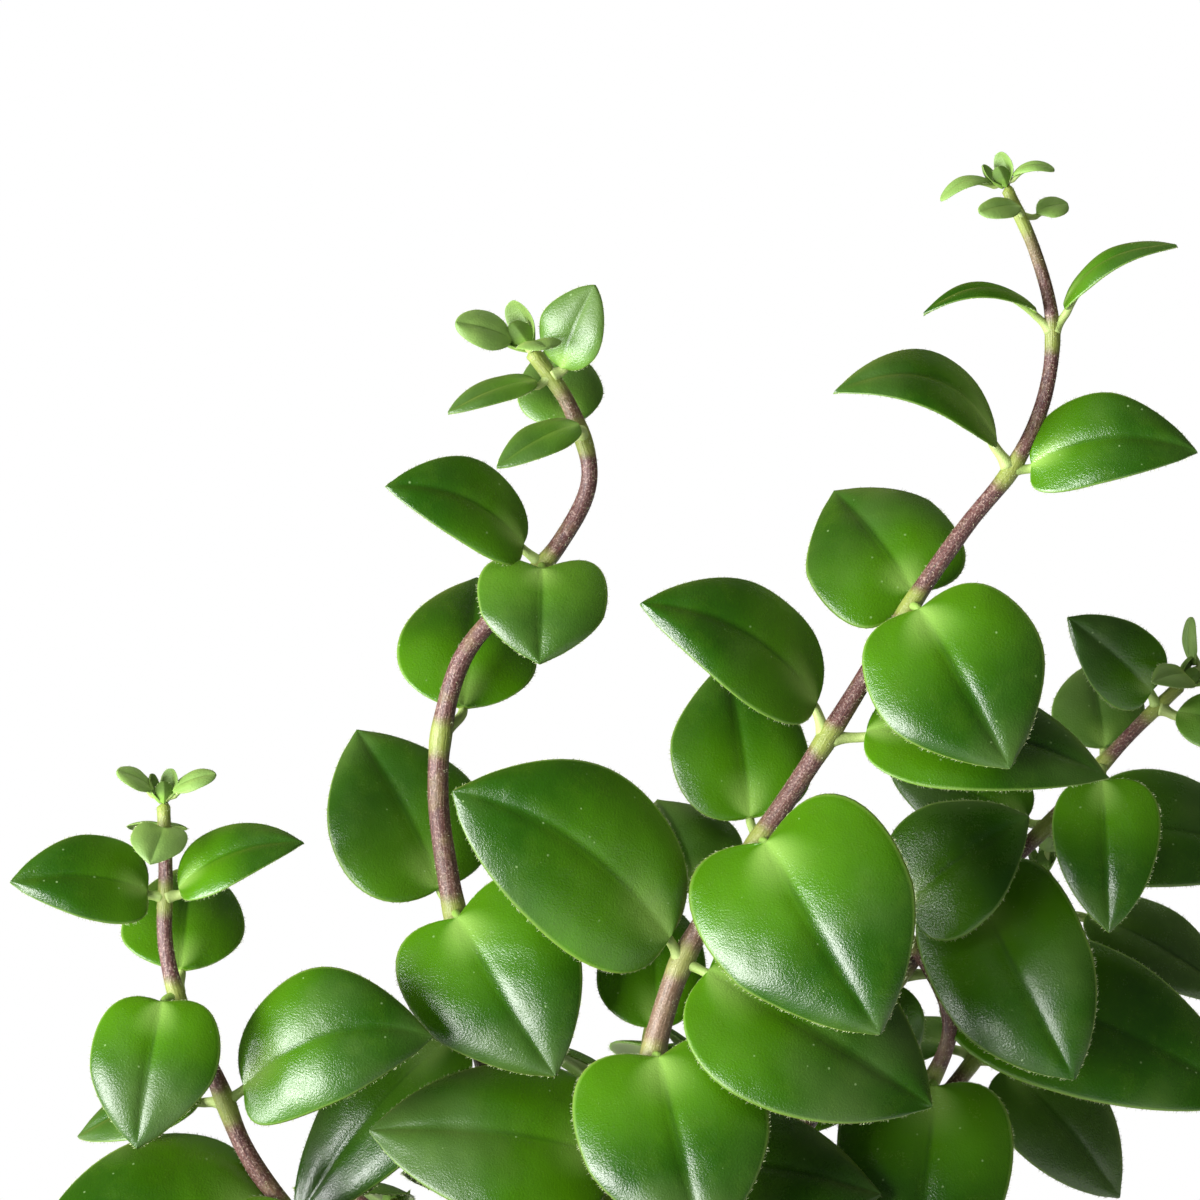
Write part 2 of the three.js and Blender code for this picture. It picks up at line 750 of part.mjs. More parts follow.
function addPiece(group, name, geometry, material) {
  const piece = new THREE.Mesh(geometry, material.clone());
  piece.name = name;
  group.add(piece);
}

for (const stem of stems) {
  addPiece(plant, `${stem.name}_stem`, stemTube(stem, 0), stemSkin);
  addPiece(plant, `${stem.name}_shoot_tip`, geometryOf(tipSolid(stem)), youngGreen);
  stem.pairs.forEach((pair, index) => {
    addPiece(plant, `${stem.name}_leaves_${index + 1}`, geometryOf(pairSolid(stem, pair)), leafGreen);
  });
}

const pottedPlant = new THREE.Group();
addPiece(pottedPlant, "pot", makePot(), potPlastic);
addPiece(pottedPlant, "potting_mix", makeMix(stems), pottingMix);
pottedPlant.add(plant);

export default pottedPlant;
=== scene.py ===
"""A potted lipstick plant.

Glossy leaves stand in pairs on purple-brown stems, in potting mix, in a plain plastic pot.
"""

import math
import random
from dataclasses import dataclass

import bpy
import numpy as np
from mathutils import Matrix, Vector, noise


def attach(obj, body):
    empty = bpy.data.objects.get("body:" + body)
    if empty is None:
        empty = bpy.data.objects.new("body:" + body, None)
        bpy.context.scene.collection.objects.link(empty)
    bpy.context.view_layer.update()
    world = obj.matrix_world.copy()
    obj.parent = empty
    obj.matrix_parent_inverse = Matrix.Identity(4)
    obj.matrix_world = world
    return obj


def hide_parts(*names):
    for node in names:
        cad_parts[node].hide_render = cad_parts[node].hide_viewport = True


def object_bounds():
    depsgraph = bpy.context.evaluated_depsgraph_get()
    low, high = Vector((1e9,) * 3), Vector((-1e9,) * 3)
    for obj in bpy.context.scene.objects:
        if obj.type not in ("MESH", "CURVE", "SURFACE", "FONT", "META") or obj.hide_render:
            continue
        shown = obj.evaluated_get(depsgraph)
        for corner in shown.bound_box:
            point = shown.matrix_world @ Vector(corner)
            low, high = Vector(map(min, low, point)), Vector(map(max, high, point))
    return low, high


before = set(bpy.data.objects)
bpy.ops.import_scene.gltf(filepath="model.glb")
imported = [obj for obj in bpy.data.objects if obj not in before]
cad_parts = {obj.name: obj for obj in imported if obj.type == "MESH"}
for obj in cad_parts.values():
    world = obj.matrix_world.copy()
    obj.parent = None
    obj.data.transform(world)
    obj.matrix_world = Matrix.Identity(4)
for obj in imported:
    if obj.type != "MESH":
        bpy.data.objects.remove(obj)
cad_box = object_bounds()
MM = 0.001
draw = random.Random(11)
scatterer = np.random.default_rng(7)

# ---- The CAD leaves and stems: how their solids are cut ----

RING_POINTS = 8  # corners in each ring round a leaf
STEM_POINTS = 6  # corners in each ring round a stem
LEAST_SPREAD = 1.3  # a ring rounder than this belongs to the stalk
SMALL_STEPS, LARGE_STEPS = 4, 6  # steps from base to tip, in small leaves and in large ones
BLADE_POINTING = 0.42  # how fast the outline draws in to the tip
FULLEST_SHARE = 0.8  # the outline's greatest value, at the leaf's widest place
PLAIN_LOBE = 0.1  # how far the outline reaches back past the stalk, in a leaf that isn't heart-shaped
HEART_LOBES = (0.102, 0.15)

# ---- Leaves ----

LEAF_SIDES, LEAF_STEPS = 40, 34
FILLER_SIDES, FILLER_STEPS = 28, 22
YOUNG_LENGTH, GROWN_LENGTH = 8 * MM, 19 * MM
FULL_LENGTH = 20 * MM
MATURE_POINTING, YOUNG_POINTING = 0.36, -0.02
LOBE_GAIN, LOBE_LOSS, YOUNG_LOBE = 1.6, 0.14, -0.05
YOUNG_WIDENING = 0.22
TIP_PINCH, PINCH_PLACE, PINCH_REACH = 0.10, 0.965, 0.03
RIM_CLOSENESS = 1.4  # over 1 it draws the corners in towards the midrib
EDGE_WAVE, LOPSIDED, CROSS_WAVE = 0.08, 0.05, 0.02
EDGE_ROLL, HALF_BULGE = 0.20, 0.045
LEAF_THICKNESS = 1.2 * MM
GROOVE_DEPTH, GROOVE_WIDTH = 0.36 * MM, 0.72 * MM
RIB_DEPTH, RIB_WIDTH = 0.5 * MM, 0.9 * MM
FRONT_FACING = -0.82  # a leaf whose upper side points further forward than this faces front
FRONT_LENGTH, FRONT_LOBE = 18 * MM, 0.022
BASE_SHIFT, HEART_SHIFT = 0.10, 0.32  # how far a blade's base is drawn in to its stem
# How far back leaves start and end being darker, and how strongly back leaves and heart-shaped leaves
# have their tint lowered: a low tint paints shade on a leaf.
BACK_START, BACK_END, BACK_SHADING, HEART_DULLNESS = 5 * MM, 45 * MM, 1.5, 0.8

# ---- Stalks, stems and buds ----

STALK_SIDES, STALK_STEPS, STALK_BEND = 12, 16, 10  # the bend is the path's first points
STALK_RADIUS = 0.85 * MM
STEM_SIDES, STEM_STEP, LEAST_STEPS = 20, 1.2 * MM, 12
NODE_SWELL, NODE_LENGTH = 0.13, 3.0 * MM
UNEVENNESS, UNEVEN_LENGTH = 0.05, 9 * MM
BUD_LEAVES = ((5.6, 0.30), (5.0, 0.36), (3.6, 0.12))  # length in millimetres, and how far each leans out
BUD_SCALE = {"middle": 1.5}
HAIR_SPACING, HAIR_LENGTH, HAIR_RADIUS = 0.36 * MM, 0.5 * MM, 0.036 * MM
STEM_HAIR_SPACING = 0.16 * MM
HAIRS_IN_PIECE = 30000

# ---- The shoots that fill the plant out, and the room that they keep to ----

RIM_SHOOTS, RIM_RISE = 20, 34 * MM
BACK_SHOOTS, BACK_RISE, BACK_EXTRA = 10, 56, 24  # the rises in millimetres
PATH_TRIES, LEAF_TRIES = 24, 26
STEM_GAP, LEAF_GAP = 3.0 * MM, 2.2 * MM
RIM_TOP, INNER_RIM, MIX_TOP = 90 * MM, 51 * MM, 81 * MM
FRONT_EDGE, FRONT_TOP, CEILING_SLOPE = 12 * MM, 118 * MM, 0.09
NEARBY = 45 * MM
ONE = Vector((1, 1, 1)) * MM
ROOM = np.array([tuple(corner) for corner in (cad_box[0] + ONE, cad_box[1] - ONE)])
CEILING = np.array([(-90, 122), (-62, 126), (-50, 142), (-25, 142), (0, 138), (12, 150),
                    (22, 176), (72, 176), (84, 160), (96, 144), (104, 118), (117, 116)]) * MM


# ---- The pot and its mix, in millimetres from the axis and up from the foot ----

POT_SIDES, POT_ROUNDING, SHARPEST_SMOOTH = 128, 0.8, math.radians(35)
POT_OUTLINE = [(0, 0), (9, 0), (9, 3), (35, 3), (35, 0), (39, 0), (52.51, 76), (54.91, 76), (56.05, 82.2),
               (55.75, 82.6), (56.2, 83.0), (57.4, 88.9), (56.3, 90), (53.9, 90), (52.8, 88.9),
               (37.8, 5.6), (0, 5.6)]
DRAIN_HOLES, DRAIN_RADIUS, DRAIN_REACH = 5, 4.5 * MM, 22 * MM
MIX_SIDES, MIX_RINGS = 96, 44
MIX_FLOOR = [(0, 6.2), (20, 6.2)]
MIX_WALL = [(37.2, 6.2), (40.5, 24), (43.8, 42), (47.0, 60), (50.3, 78)]
MIX_REACH, STREWN_REACH = 50.0, 49 * MM
CROWN_REACHES, CROWN_HEIGHTS = (0, 26.5, 50.5), (82, 81.4, 79)
CRUMB_SIZE, CRUMB_SINK, CRUMB_HEIGHT = 11 * MM, 0.9, 1.1

# ---- Colours: a pair runs from the darker to the paler ----

# The paler of the leaf greens is painted light shining through the leaf near its stalk.
LEAF_GREENS = (0.010, 0.054, 0.0001), (0.042, 0.140, 0.0002)
CLOUDED_GREEN = (0.042, 0.110, 0.0008)
YOUNG_GREENS = (0.098, 0.200, 0.038), (0.230, 0.360, 0.080)
SHADED_GREENS = (0.050, 0.100, 0.016), (0.085, 0.150, 0.034)
# The dark green of painted shade in the midrib groove.
MIDRIB_GROOVE_SHADE = (0.012, 0.050, 0.0006)
# The greyish olive of painted sheen on the leaves.
PAINTED_SHEEN_GREEN = (0.078, 0.140, 0.030)
LEAF_FOOT_GREEN = (0.24, 0.40, 0.08)
UNDERSIDE_GREENS = (0.075, 0.150, 0.018), (0.150, 0.300, 0.030)
RIM_GREEN = (0.17, 0.30, 0.04)
STALK_GREENS = (0.24, 0.35, 0.07), (0.36, 0.42, 0.17)
SPECK_GREEN = (0.35, 0.50, 0.22)
BARKS = (0.045, 0.015, 0.015), (0.115, 0.045, 0.037)
BARK_FRECKLE = (0.50, 0.36, 0.30)
BARK_OLIVE = (0.19, 0.15, 0.06)
OLD_BARKS = (0.17, 0.12, 0.055), (0.36, 0.28, 0.15)
JOINT_GREENS = (0.14, 0.20, 0.022), (0.28, 0.34, 0.065)
TERRACOTTAS = (0.36, 0.125, 0.065), (0.47, 0.180, 0.100)
POT_SCUFF = (0.62, 0.36, 0.26)
PEATS = (0.012, 0.008, 0.005), (0.055, 0.034, 0.020)
CHIP_BROWNS = (0.045, 0.024, 0.012), (0.150, 0.085, 0.045)
PERLITE_GREYS = (0.55, 0.53, 0.48), (0.80, 0.78, 0.72)
HAIR_GREENS = (0.42, 0.50, 0.24), (0.62, 0.66, 0.42)
PAPER_GREYS = (0.86, 0.86, 0.85), (0.90, 0.90, 0.89)

# ---- Light and camera ----

SEEN, LIT, MIRRORED = 1.0, 0.20, 0.06  # the surround to the camera, to surfaces and in gloss
FLOOR_RADIUS = 0.6
PLANT_MIDDLE = (0.01, 0.0, 0.2)
LOOK_AT = np.array([6, 0, 218]) * MM
DISTANCE, ELEVATION = 1.4, math.radians(5)
FIELD, SENSOR = 192 * MM, 36


# ---- Reading the frame ----

def ease(value, low, high):
    """0 up to low, 1 from high, and smooth between them. Low may be above high."""
    share = np.clip((np.asarray(value, dtype=float) - low) / (high - low), 0, 1)
    return share * share * (3 - 2 * share)


def corners_of(node):
    """The node's corner points, each once, and the set of points that each is joined to."""
    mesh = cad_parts[node].data
    number = {}
    points = []
    place = []
    for vertex in mesh.vertices:
        key = tuple(round(value, 7) for value in vertex.co)
        if key not in number:
            number[key] = len(points)
            points.append(np.array(vertex.co, dtype=float))
        place.append(number[key])
    near = [set() for _ in points]
    for edge in mesh.edges:
        a, b = (place[index] for index in edge.vertices)
        if a != b:
            near[a].add(b)
            near[b].add(a)
    return points, near


def levels_behind(start, near, size):
    """The sets of a given size that follow one another, outwards from a starting set of points."""
    seen = set(start)
    level = set().union(*(near[index] for index in start)) - seen
    levels = []
    while len(level) == size:
        levels.append(level)
        seen |= level
        level = set().union(*(near[index] for index in level)) - seen
    return levels


def walk_round(level, near):
    """The points of one ring, in order round it, or None where they aren't one closed ring."""
    ring = [min(level)]
    while len(ring) < len(level):
        following = [index for index in near[ring[-1]] if index in level and index not in ring]
        if not following:
            return None
        ring.append(min(following))
    return ring if ring[0] in near[ring[-1]] else None


def unit(vector):
    return vector / np.linalg.norm(vector)


def units(vectors):
    return vectors / np.linalg.norm(vectors, axis=1)[:, None]


@dataclass
class Blade:
    """A leaf's shape: its midrib's curve, how its outline lies about that, and where its stalk starts."""

    base: np.ndarray
    tip: np.ndarray
    lift: np.ndarray
    up: np.ndarray
    across: np.ndarray
    width: float
    cup: float
    lobe: float
    heart: np.ndarray = None
    stem_radius: float = 0.0

    @property
    def length(self):
        return float(np.linalg.norm(self.tip - self.base))

    @property
    def heartlike(self):
        """0 for a leaf that narrows into its stalk, 1 for one whose lobes reach back past it."""
        return float(ease(self.lobe, *HEART_LOBES))

    def midrib(self, share):
        share = np.asarray(share, dtype=float)[..., None]
        return self.base + share * (self.tip - self.base) + 4 * share * (1 - share) * self.lift


def read_blade(points, near, tip):
    """The blade that ends at a tip point, worked out from the rings behind it, or None."""
    if len(near[tip]) != RING_POINTS:
        return None
    rings = []
    for level in levels_behind({tip}, near, RING_POINTS):
        ring = walk_round(level, near)
        if ring is None:
            break
        places = np.array([points[index] for index in ring])
        spans = np.linalg.norm(places[:4] - places[4:], axis=1)
        if spans.max() < LEAST_SPREAD * spans.min():
            break
        rings.append(np.roll(places, -int(np.argmax(spans)), axis=0))
    if len(rings) < 2:
        return None
    steps = SMALL_STEPS if len(rings) < SMALL_STEPS else LARGE_STEPS
    angles = [math.pi * (steps - 1 - number) / steps for number in range(len(rings))]
    shares = np.array([(1 - math.cos(angle)) / 2 for angle in angles])
    end = points[tip]
    centres = np.array([(ring[2] + ring[6]) / 2 for ring in rings])
    slope = (centres - end * shares[:, None]) / (1 - shares[:, None])
    matrix = np.stack([np.ones_like(shares), 4 * shares], axis=1)
    base, lift = np.linalg.lstsq(matrix, slope, rcond=None)[0]
    widest = steps // 2 - 1
    ring = rings[widest]
    along = unit(end - base)
    half = np.linalg.norm(ring[0] - ring[4]) / 2
    aside = unit(ring[0] - ring[4])
    rise = (ring[0] + ring[4]) / 2 - centres[widest]
    up = rise - along * (rise @ along)
    up = unit(up - aside * (up @ aside))
    lobe = PLAIN_LOBE
    if len(rings) > widest + 1:
        later = rings[widest + 1]
        share = shares[widest + 1]
        reach = ((later[0] + later[4]) / 2 - base) @ along
        edge = share
        for _ in range(6):
            edge = (reach - 4 * edge * (1 - edge) * (lift @ along)) / np.linalg.norm(end - base)
        lobe = (share - edge) / math.sin(2 * angles[widest + 1])
    width = 2 * half * FULLEST_SHARE / 0.5 ** BLADE_POINTING
    return Blade(base, end, lift, up, np.cross(along, up), width, float(rise @ up) / half, float(lobe))


@dataclass
class Stem:
    """A stem's centre line and its radii, at even steps from its foot, and where leaves grow from it."""

    centres: np.ndarray
    radii: np.ndarray
    joints: list

    def nearest(self, point):
        return int(np.argmin(np.linalg.norm(self.centres - point, axis=1)))


def smooth_through(values, count):
    """Even steps along a smooth curve through the values."""
    padded = np.vstack([2 * values[0] - values[1], values, 2 * values[-1] - values[-2]])
    result = []
    for spot in np.linspace(0, len(values) - 1, count):
        left = min(int(spot), len(values) - 2)
        t = spot - left
        a, b, c, d = padded[left:left + 4]
        result.append(0.5 * (2 * b + (c - a) * t + (2 * a - 5 * b + 4 * c - d) * t ** 2
                             + (3 * b - 3 * c + d - a) * t ** 3))
    return np.array(result)


def read_stem(node):
    points, near = corners_of(node)
    heights = sorted(range(len(points)), key=lambda index: points[index][2])
    foot = set(heights[:STEM_POINTS])
    rings = [foot] + levels_behind(foot, near, STEM_POINTS)
    middles = np.array([np.mean([points[index] for index in ring], axis=0) for ring in rings])
    radii = np.array([[np.mean([np.linalg.norm(points[index] - middle) for index in ring])]
                      for ring, middle in zip(rings, middles)])
    length = np.linalg.norm(np.diff(middles, axis=0), axis=1).sum()
    count = max(LEAST_STEPS, int(length / STEM_STEP))
    return Stem(smooth_through(middles, count), smooth_through(radii, count)[:, 0], [])


def read_leaves(node, stem):
    """The node's leaves, each with the place on the stem that it grows from."""
    points, near = corners_of(node)
    blades = []
    taken = set()
    for index in range(len(points)):
        blade = read_blade(points, near, index)
        if blade is None:
            continue
        blades.append(blade)
        taken |= set().union(*levels_behind({index}, near, RING_POINTS))
    loose = [points[index] for index in range(len(points)) if index not in taken]
    spot = stem.nearest(np.mean(loose, axis=0))
    for blade in blades:
        blade.heart = stem.centres[spot]
        blade.stem_radius = float(stem.radii[spot])
        if blade.up[1] < FRONT_FACING and blade.length > FRONT_LENGTH:
            blade.lobe += FRONT_LOBE
        shift = BASE_SHIFT + HEART_SHIFT * blade.heartlike
        blade.base = blade.base + shift * (blade.heart - blade.base)
    return blades, spot


# ---- Forms ----

def deselect():
    bpy.ops.object.select_all(action="DESELECT")


class Form:
    """A smooth closed skin of rings between two poles, which is modelled once and then shaped or copied.

    It keeps each corner's ring, from 0 at the lower pole, and its angle round the ring.
    """

    def __init__(self, name, sides, steps):
        deselect()
        bpy.ops.mesh.primitive_uv_sphere_add(segments=sides, ring_count=steps, radius=1)
        bpy.ops.object.shade_smooth()
        self.pattern = bpy.context.object
        self.pattern.name = name
        self.steps = steps
        places = np.array([vertex.co for vertex in self.pattern.data.vertices])
        ring = steps * (1 - np.arccos(np.clip(places[:, 2], -1, 1)) / math.pi)
        self.ring = np.rint(ring).astype(int)
        self.angle = np.arctan2(places[:, 1], places[:, 0])

    def margin(self, side):
        """The corners along one edge of a leaf, from its base to its tip."""
        outermost = np.abs(np.sin(self.angle) - side) < 1e-4
        on_edge = np.flatnonzero(outermost & (self.ring > 0) & (self.ring < self.steps))
        return on_edge[np.argsort(self.ring[on_edge])]


def copy_of(pattern, name):
    piece = pattern.copy()
    piece.data = pattern.data.copy()
    piece.name = name
    bpy.context.scene.collection.objects.link(piece)
    return piece


def reshape(piece, places, **marks):
    """Puts a piece's corners in their places, and gives each the numbers that its material reads."""
    piece.data.vertices.foreach_set("co", np.asarray(places, dtype=np.float32).ravel())
    for mark, values in marks.items():
        layer = piece.data.attributes.new(mark, "FLOAT", "POINT")
        full = np.broadcast_to(np.asarray(values, dtype=np.float32), (len(piece.data.vertices),))
        layer.data.foreach_set("value", np.ascontiguousarray(full))
    piece.data.update()


def join(pieces, name):
    deselect()
    for piece in pieces:
        piece.select_set(True)
    bpy.context.view_layer.objects.active = pieces[0]
    if len(pieces) > 1:
        bpy.ops.object.join()
    pieces[0].name = name
    pieces[0].data.name = name
    return pieces[0]


def turned_frames(path):
    """For each point of a path, two directions across it that don't twist along it."""
    tangents = units(np.gradient(path, axis=0))
    start = np.array([1.0, 0, 0]) if abs(tangents[0][0]) < 0.9 else np.array([0, 1.0, 0])
    first = unit(start - tangents[0] * (start @ tangents[0]))
    firsts = []
    for tangent in tangents:
        first = unit(first - tangent * (first @ tangent))
        firsts.append(first)
    firsts = np.array(firsts)
    return firsts, np.cross(tangents, firsts)


def sweep(ring, angle, path, radii):
    """A tube's corners: a circle of each radius round each point of the path."""
    first, second = turned_frames(path)
    spread = np.cos(angle)[:, None] * first[ring] + np.sin(angle)[:, None] * second[ring]
    return path[ring] + radii[ring][:, None] * spread


leaf_form = Form("leaf_pattern", LEAF_SIDES, LEAF_STEPS)
filler_form = Form("filler_pattern", FILLER_SIDES, FILLER_STEPS)
stalk_form = Form("stalk_pattern", STALK_SIDES, STALK_STEPS)
hairs = {"roots": [], "ways": [], "lengths": []}


def lengths_along(path):
    """How far along a path each of its points is."""
    return np.concatenate([[0], np.cumsum(np.linalg.norm(np.diff(path, axis=0), axis=1))])


def along_path(values, lengths, spots):
    """The values that a path has at some lengths along it."""
    return np.stack([np.interp(spots, lengths, values[:, axis]) for axis in range(3)], axis=1)


def fringe(blade, edge, size):
    """Notes where fine hairs stand along a leaf's edge."""
    lengths = lengths_along(edge)
    count = int(lengths[-1] / HAIR_SPACING)
    spots = np.sort(scatterer.uniform(0, lengths[-1], count))
    roots = along_path(edge, lengths, spots)
    share = np.clip((roots - blade.base) @ (blade.tip - blade.base) / blade.length ** 2, 0, 1)
    grow_hairs(roots, units(roots - blade.midrib(share)), HAIR_LENGTH * (0.6 + 0.4 * size))


def grow_hairs(roots, out, length):
    """Notes hairs that stand outwards, each leaning a little its own way."""
    lean = units(out + 0.35 * scatterer.normal(size=out.shape))
    hairs["roots"].append(roots)
    hairs["ways"].append(lean)
    hairs["lengths"].append(length * scatterer.uniform(0.5, 1.2, len(roots)))


def crosswise(ways):
    """For each direction, two more that stand square to it and to each other."""
    helper = np.where(np.abs(ways[:, 2:]) < 0.9, [[0, 0, 1.0]], [[1.0, 0, 0]])
    first = units(np.cross(helper, ways))
    return first, np.cross(ways, first)


def scatter(pattern, name, places, turns):
    """One mesh of many small copies of a pattern, each with its own place, turn and size."""
    shape = np.array([vertex.co for vertex in pattern.data.vertices])
    faces = [np.array(face.vertices) for face in pattern.data.polygons]
    corners = places[:, None, :] + np.einsum("nij,vj->nvi", turns, shape)
    starts = np.arange(len(places)) * len(shape)
    skins = [(face + start).tolist() for start in starts for face in faces]
    mesh = bpy.data.meshes.new(name)
    mesh.from_pydata(corners.reshape(-1, 3).tolist(), [], skins)
    piece = bpy.data.objects.new(name, mesh)
    bpy.context.scene.collection.objects.link(piece)
    return piece


def leaf(blade, name, tint, form=leaf_form):
    """A leaf blade: full halves, a groove above the midrib and a rib below it, and a rounded rim.

    Tint is the leaf's own number, which sets its waves as well as its colour; a low tint paints shade on
    the leaf.
    """
    turn = math.pi * form.ring / form.steps
    middle = (1 - np.cos(turn)) / 2
    youth = float(ease(blade.length, GROWN_LENGTH, YOUNG_LENGTH))
    slender = youth * (1 - blade.heartlike)
    size = min(1.0, blade.length / FULL_LENGTH)

    lobe = (1 - slender) * (LOBE_GAIN * blade.lobe - LOBE_LOSS) + YOUNG_LOBE * slender
    edge = middle - lobe * np.maximum(0, np.sin(2 * turn))
    pointing = MATURE_POINTING + (YOUNG_POINTING - MATURE_POINTING) * slender
    outline = np.sin(turn) * np.maximum(1 - middle, 1e-4) ** pointing
    half = blade.width * outline / (2 * outline.max())
    half *= 1 + YOUNG_WIDENING * slender
    half *= 1 - TIP_PINCH * (1 - youth) * np.exp(-((middle - PINCH_PLACE) / PINCH_REACH) ** 2)

    lean = np.sin(form.angle)
    aside = np.sign(lean) * np.abs(lean) ** RIM_CLOSENESS
    out = np.abs(aside)
    above = np.cos(form.angle)
    wave = np.array([noise.noise(Vector((2.2 * a, 1.6 * b, 17 * tint)))
                     for a, b in zip(middle, aside)])
    uneven = EDGE_WAVE * wave + LOPSIDED * np.sign(aside) * math.sin(9 * tint)
    offset = aside * half * (1 + uneven * out)
    roll = EDGE_ROLL * ease(middle, -0.05, 0.35)
    bulge = HALF_BULGE * half * np.sin(math.pi * out ** 0.8) - roll * half * out ** 3.2
    fade = ease(middle, 1.0, 0.8) * (0.1 + 0.9 * ease(middle, 0.15, 0.55)) * size
    groove = GROOVE_DEPTH * fade * np.exp(-(offset / (GROOVE_WIDTH * (0.4 + 0.6 * size))) ** 2)
    rib = RIB_DEPTH * fade * np.exp(-(offset / RIB_WIDTH) ** 2)
    thick = LEAF_THICKNESS * (0.35 + 0.65 * size) * (1 - 0.4 * middle) * (1 - 0.3 * aside ** 2)
    rounded = np.sign(above) * np.abs(above) ** 0.55
    height = blade.cup * half * aside ** 2 + bulge + CROSS_WAVE * blade.length * wave * out
    height += 0.5 * thick * rounded - np.where(above > 0, groove, rib)

    share = middle + (edge - middle) * aside ** 2
    places = blade.midrib(share) + blade.across * offset[:, None] + blade.up * height[:, None]
    piece = copy_of(form.pattern, name)
    reshape(piece, places, along=middle, aside=aside, upper=(above > -0.05),
            tint=tint, youth=youth, stalk=0.0)
    for side in (-1, 1):
        fringe(blade, places[form.margin(side)], size)
    return piece


def stalk(blade, name, tint):
    """A leaf stalk, from inside the stem to the blade's base, then on below the midrib until it fades."""
    thick = min(STALK_RADIUS, 0.06 * blade.width + 0.25 * MM) * (1 - 0.2 * blade.heartlike)
    under = 0.35 * LEAF_THICKNESS + 0.6 * thick
    run = blade.base - blade.heart
    entry = blade.heart + 0.35 * blade.stem_radius * unit(run)
    reach = np.linalg.norm(blade.base - entry)
    leaving = unit(run + np.array([0, 0, 0.15]) * np.linalg.norm(run))
    arriving = unit(blade.midrib(0.06) - blade.midrib(0.0))
    path = []
    for t in np.linspace(0, 1, STALK_BEND):
        bend = (2 * t ** 3 - 3 * t ** 2 + 1, t ** 3 - 2 * t ** 2 + t,
                3 * t ** 2 - 2 * t ** 3, t ** 3 - t ** 2)
        path.append(bend[0] * entry + bend[1] * 0.8 * reach * leaving
                    + bend[2] * (blade.base - under * blade.up) + bend[3] * 0.8 * reach * arriving)
    for share in np.linspace(0.03, 0.42, STALK_STEPS + 1 - STALK_BEND):
        path.append(blade.midrib(share) - (under + 0.25 * thick * (share - 0.03)) * blade.up)
    path = np.array(path)
    share = np.linspace(0, 1, STALK_STEPS + 1)
    flare = 0.7 * (1 - 0.8 * blade.heartlike)
    radii = thick * (0.95 + flare * np.exp(-(share / 0.2) ** 2)) * (1 - 0.82 * ease(share, 0.5, 1.0))
    piece = copy_of(stalk_form.pattern, name)
    paleness = (1 - 0.8 * blade.heartlike) * (1 - ease(stalk_form.ring / STALK_STEPS, 0.5, 0.95))
    reshape(piece, sweep(stalk_form.ring, stalk_form.angle, path, radii), along=0.0, aside=0.0,
            upper=0.0, tint=tint, youth=0.5, stalk=paleness)
    return piece


def grown_blade(base, way, length, arch, up, width, cup, lobe=PLAIN_LOBE, heart=None, radius=0.0):
    """A blade that runs a length along a way from its base, and arches up between."""
    return Blade(base, base + length * way, arch * length * up, up, np.cross(way, up),
                 width, cup, lobe, heart, radius)


def bud(stem, name, scale=1.0):
    """Small folded leaves that stand round the end of a stem."""
    end = stem.centres[-1]
    along = unit(end - stem.centres[-4])
    side, other = turned_frames(np.array([end - along * MM, end]))
    pieces = []
    for number, (size, spread) in enumerate(BUD_LEAVES):
        turn = 0.7 + number * math.tau / len(BUD_LEAVES)
        out = math.cos(turn) * side[1] + math.sin(turn) * other[1]
        length = size * scale * MM
        base = end - 0.6 * MM * along + 0.35 * MM * out
        way = unit(along + spread * out)
        up = unit(way * (out @ way) - out)
        blade = grown_blade(base, way, length, -0.16, up, 0.66 * length, 0.6)
        pieces.append(leaf(blade, f"{name}_{number}", draw.uniform(-1, 1)))
    return pieces


def stem_piece(name, stem):
    """A stem that swells where its leaves grow, closes at its end and is hairy but for its foot."""
    steps = len(stem.centres) - 1
    form = Form(name, STEM_SIDES, steps)
    ring, angle = form.ring, form.angle
    lengths = lengths_along(stem.centres)
    closeness = np.zeros(steps + 1)
    for spot in stem.joints:
        closeness = np.maximum(closeness, np.exp(-((lengths - lengths[spot]) / NODE_LENGTH) ** 2))
    uneven = np.array([noise.noise(Vector((length / UNEVEN_LENGTH, 3.1, 0.7))) for length in lengths])
    radii = stem.radii * (1 + NODE_SWELL * closeness + UNEVENNESS * uneven)
    radii *= np.sqrt(np.clip((lengths[-1] - lengths + 0.2 * MM) / (1.2 * MM), 0, 1))
    share = lengths / lengths[-1]
    reshape(form.pattern, sweep(ring, angle, stem.centres, radii), along=share[ring],
            joint=closeness[ring], east=np.cos(angle), north=np.sin(angle), run=lengths[ring] / MM)
    count = int(lengths[-1] / STEM_HAIR_SPACING)
    spots = scatterer.uniform(0.3 * lengths[-1], lengths[-1], count)
    turns = scatterer.uniform(0, math.tau, count)
    first, second = turned_frames(stem.centres)
    out = np.cos(turns)[:, None] * along_path(first, lengths, spots)
    out += np.sin(turns)[:, None] * along_path(second, lengths, spots)
    skin = np.interp(spots, lengths, radii)[:, None]
    roots = along_path(stem.centres, lengths, spots) + 0.97 * skin * out
    grow_hairs(roots, out, 0.8 * HAIR_LENGTH)
    return form.pattern


# ---- Materials ----

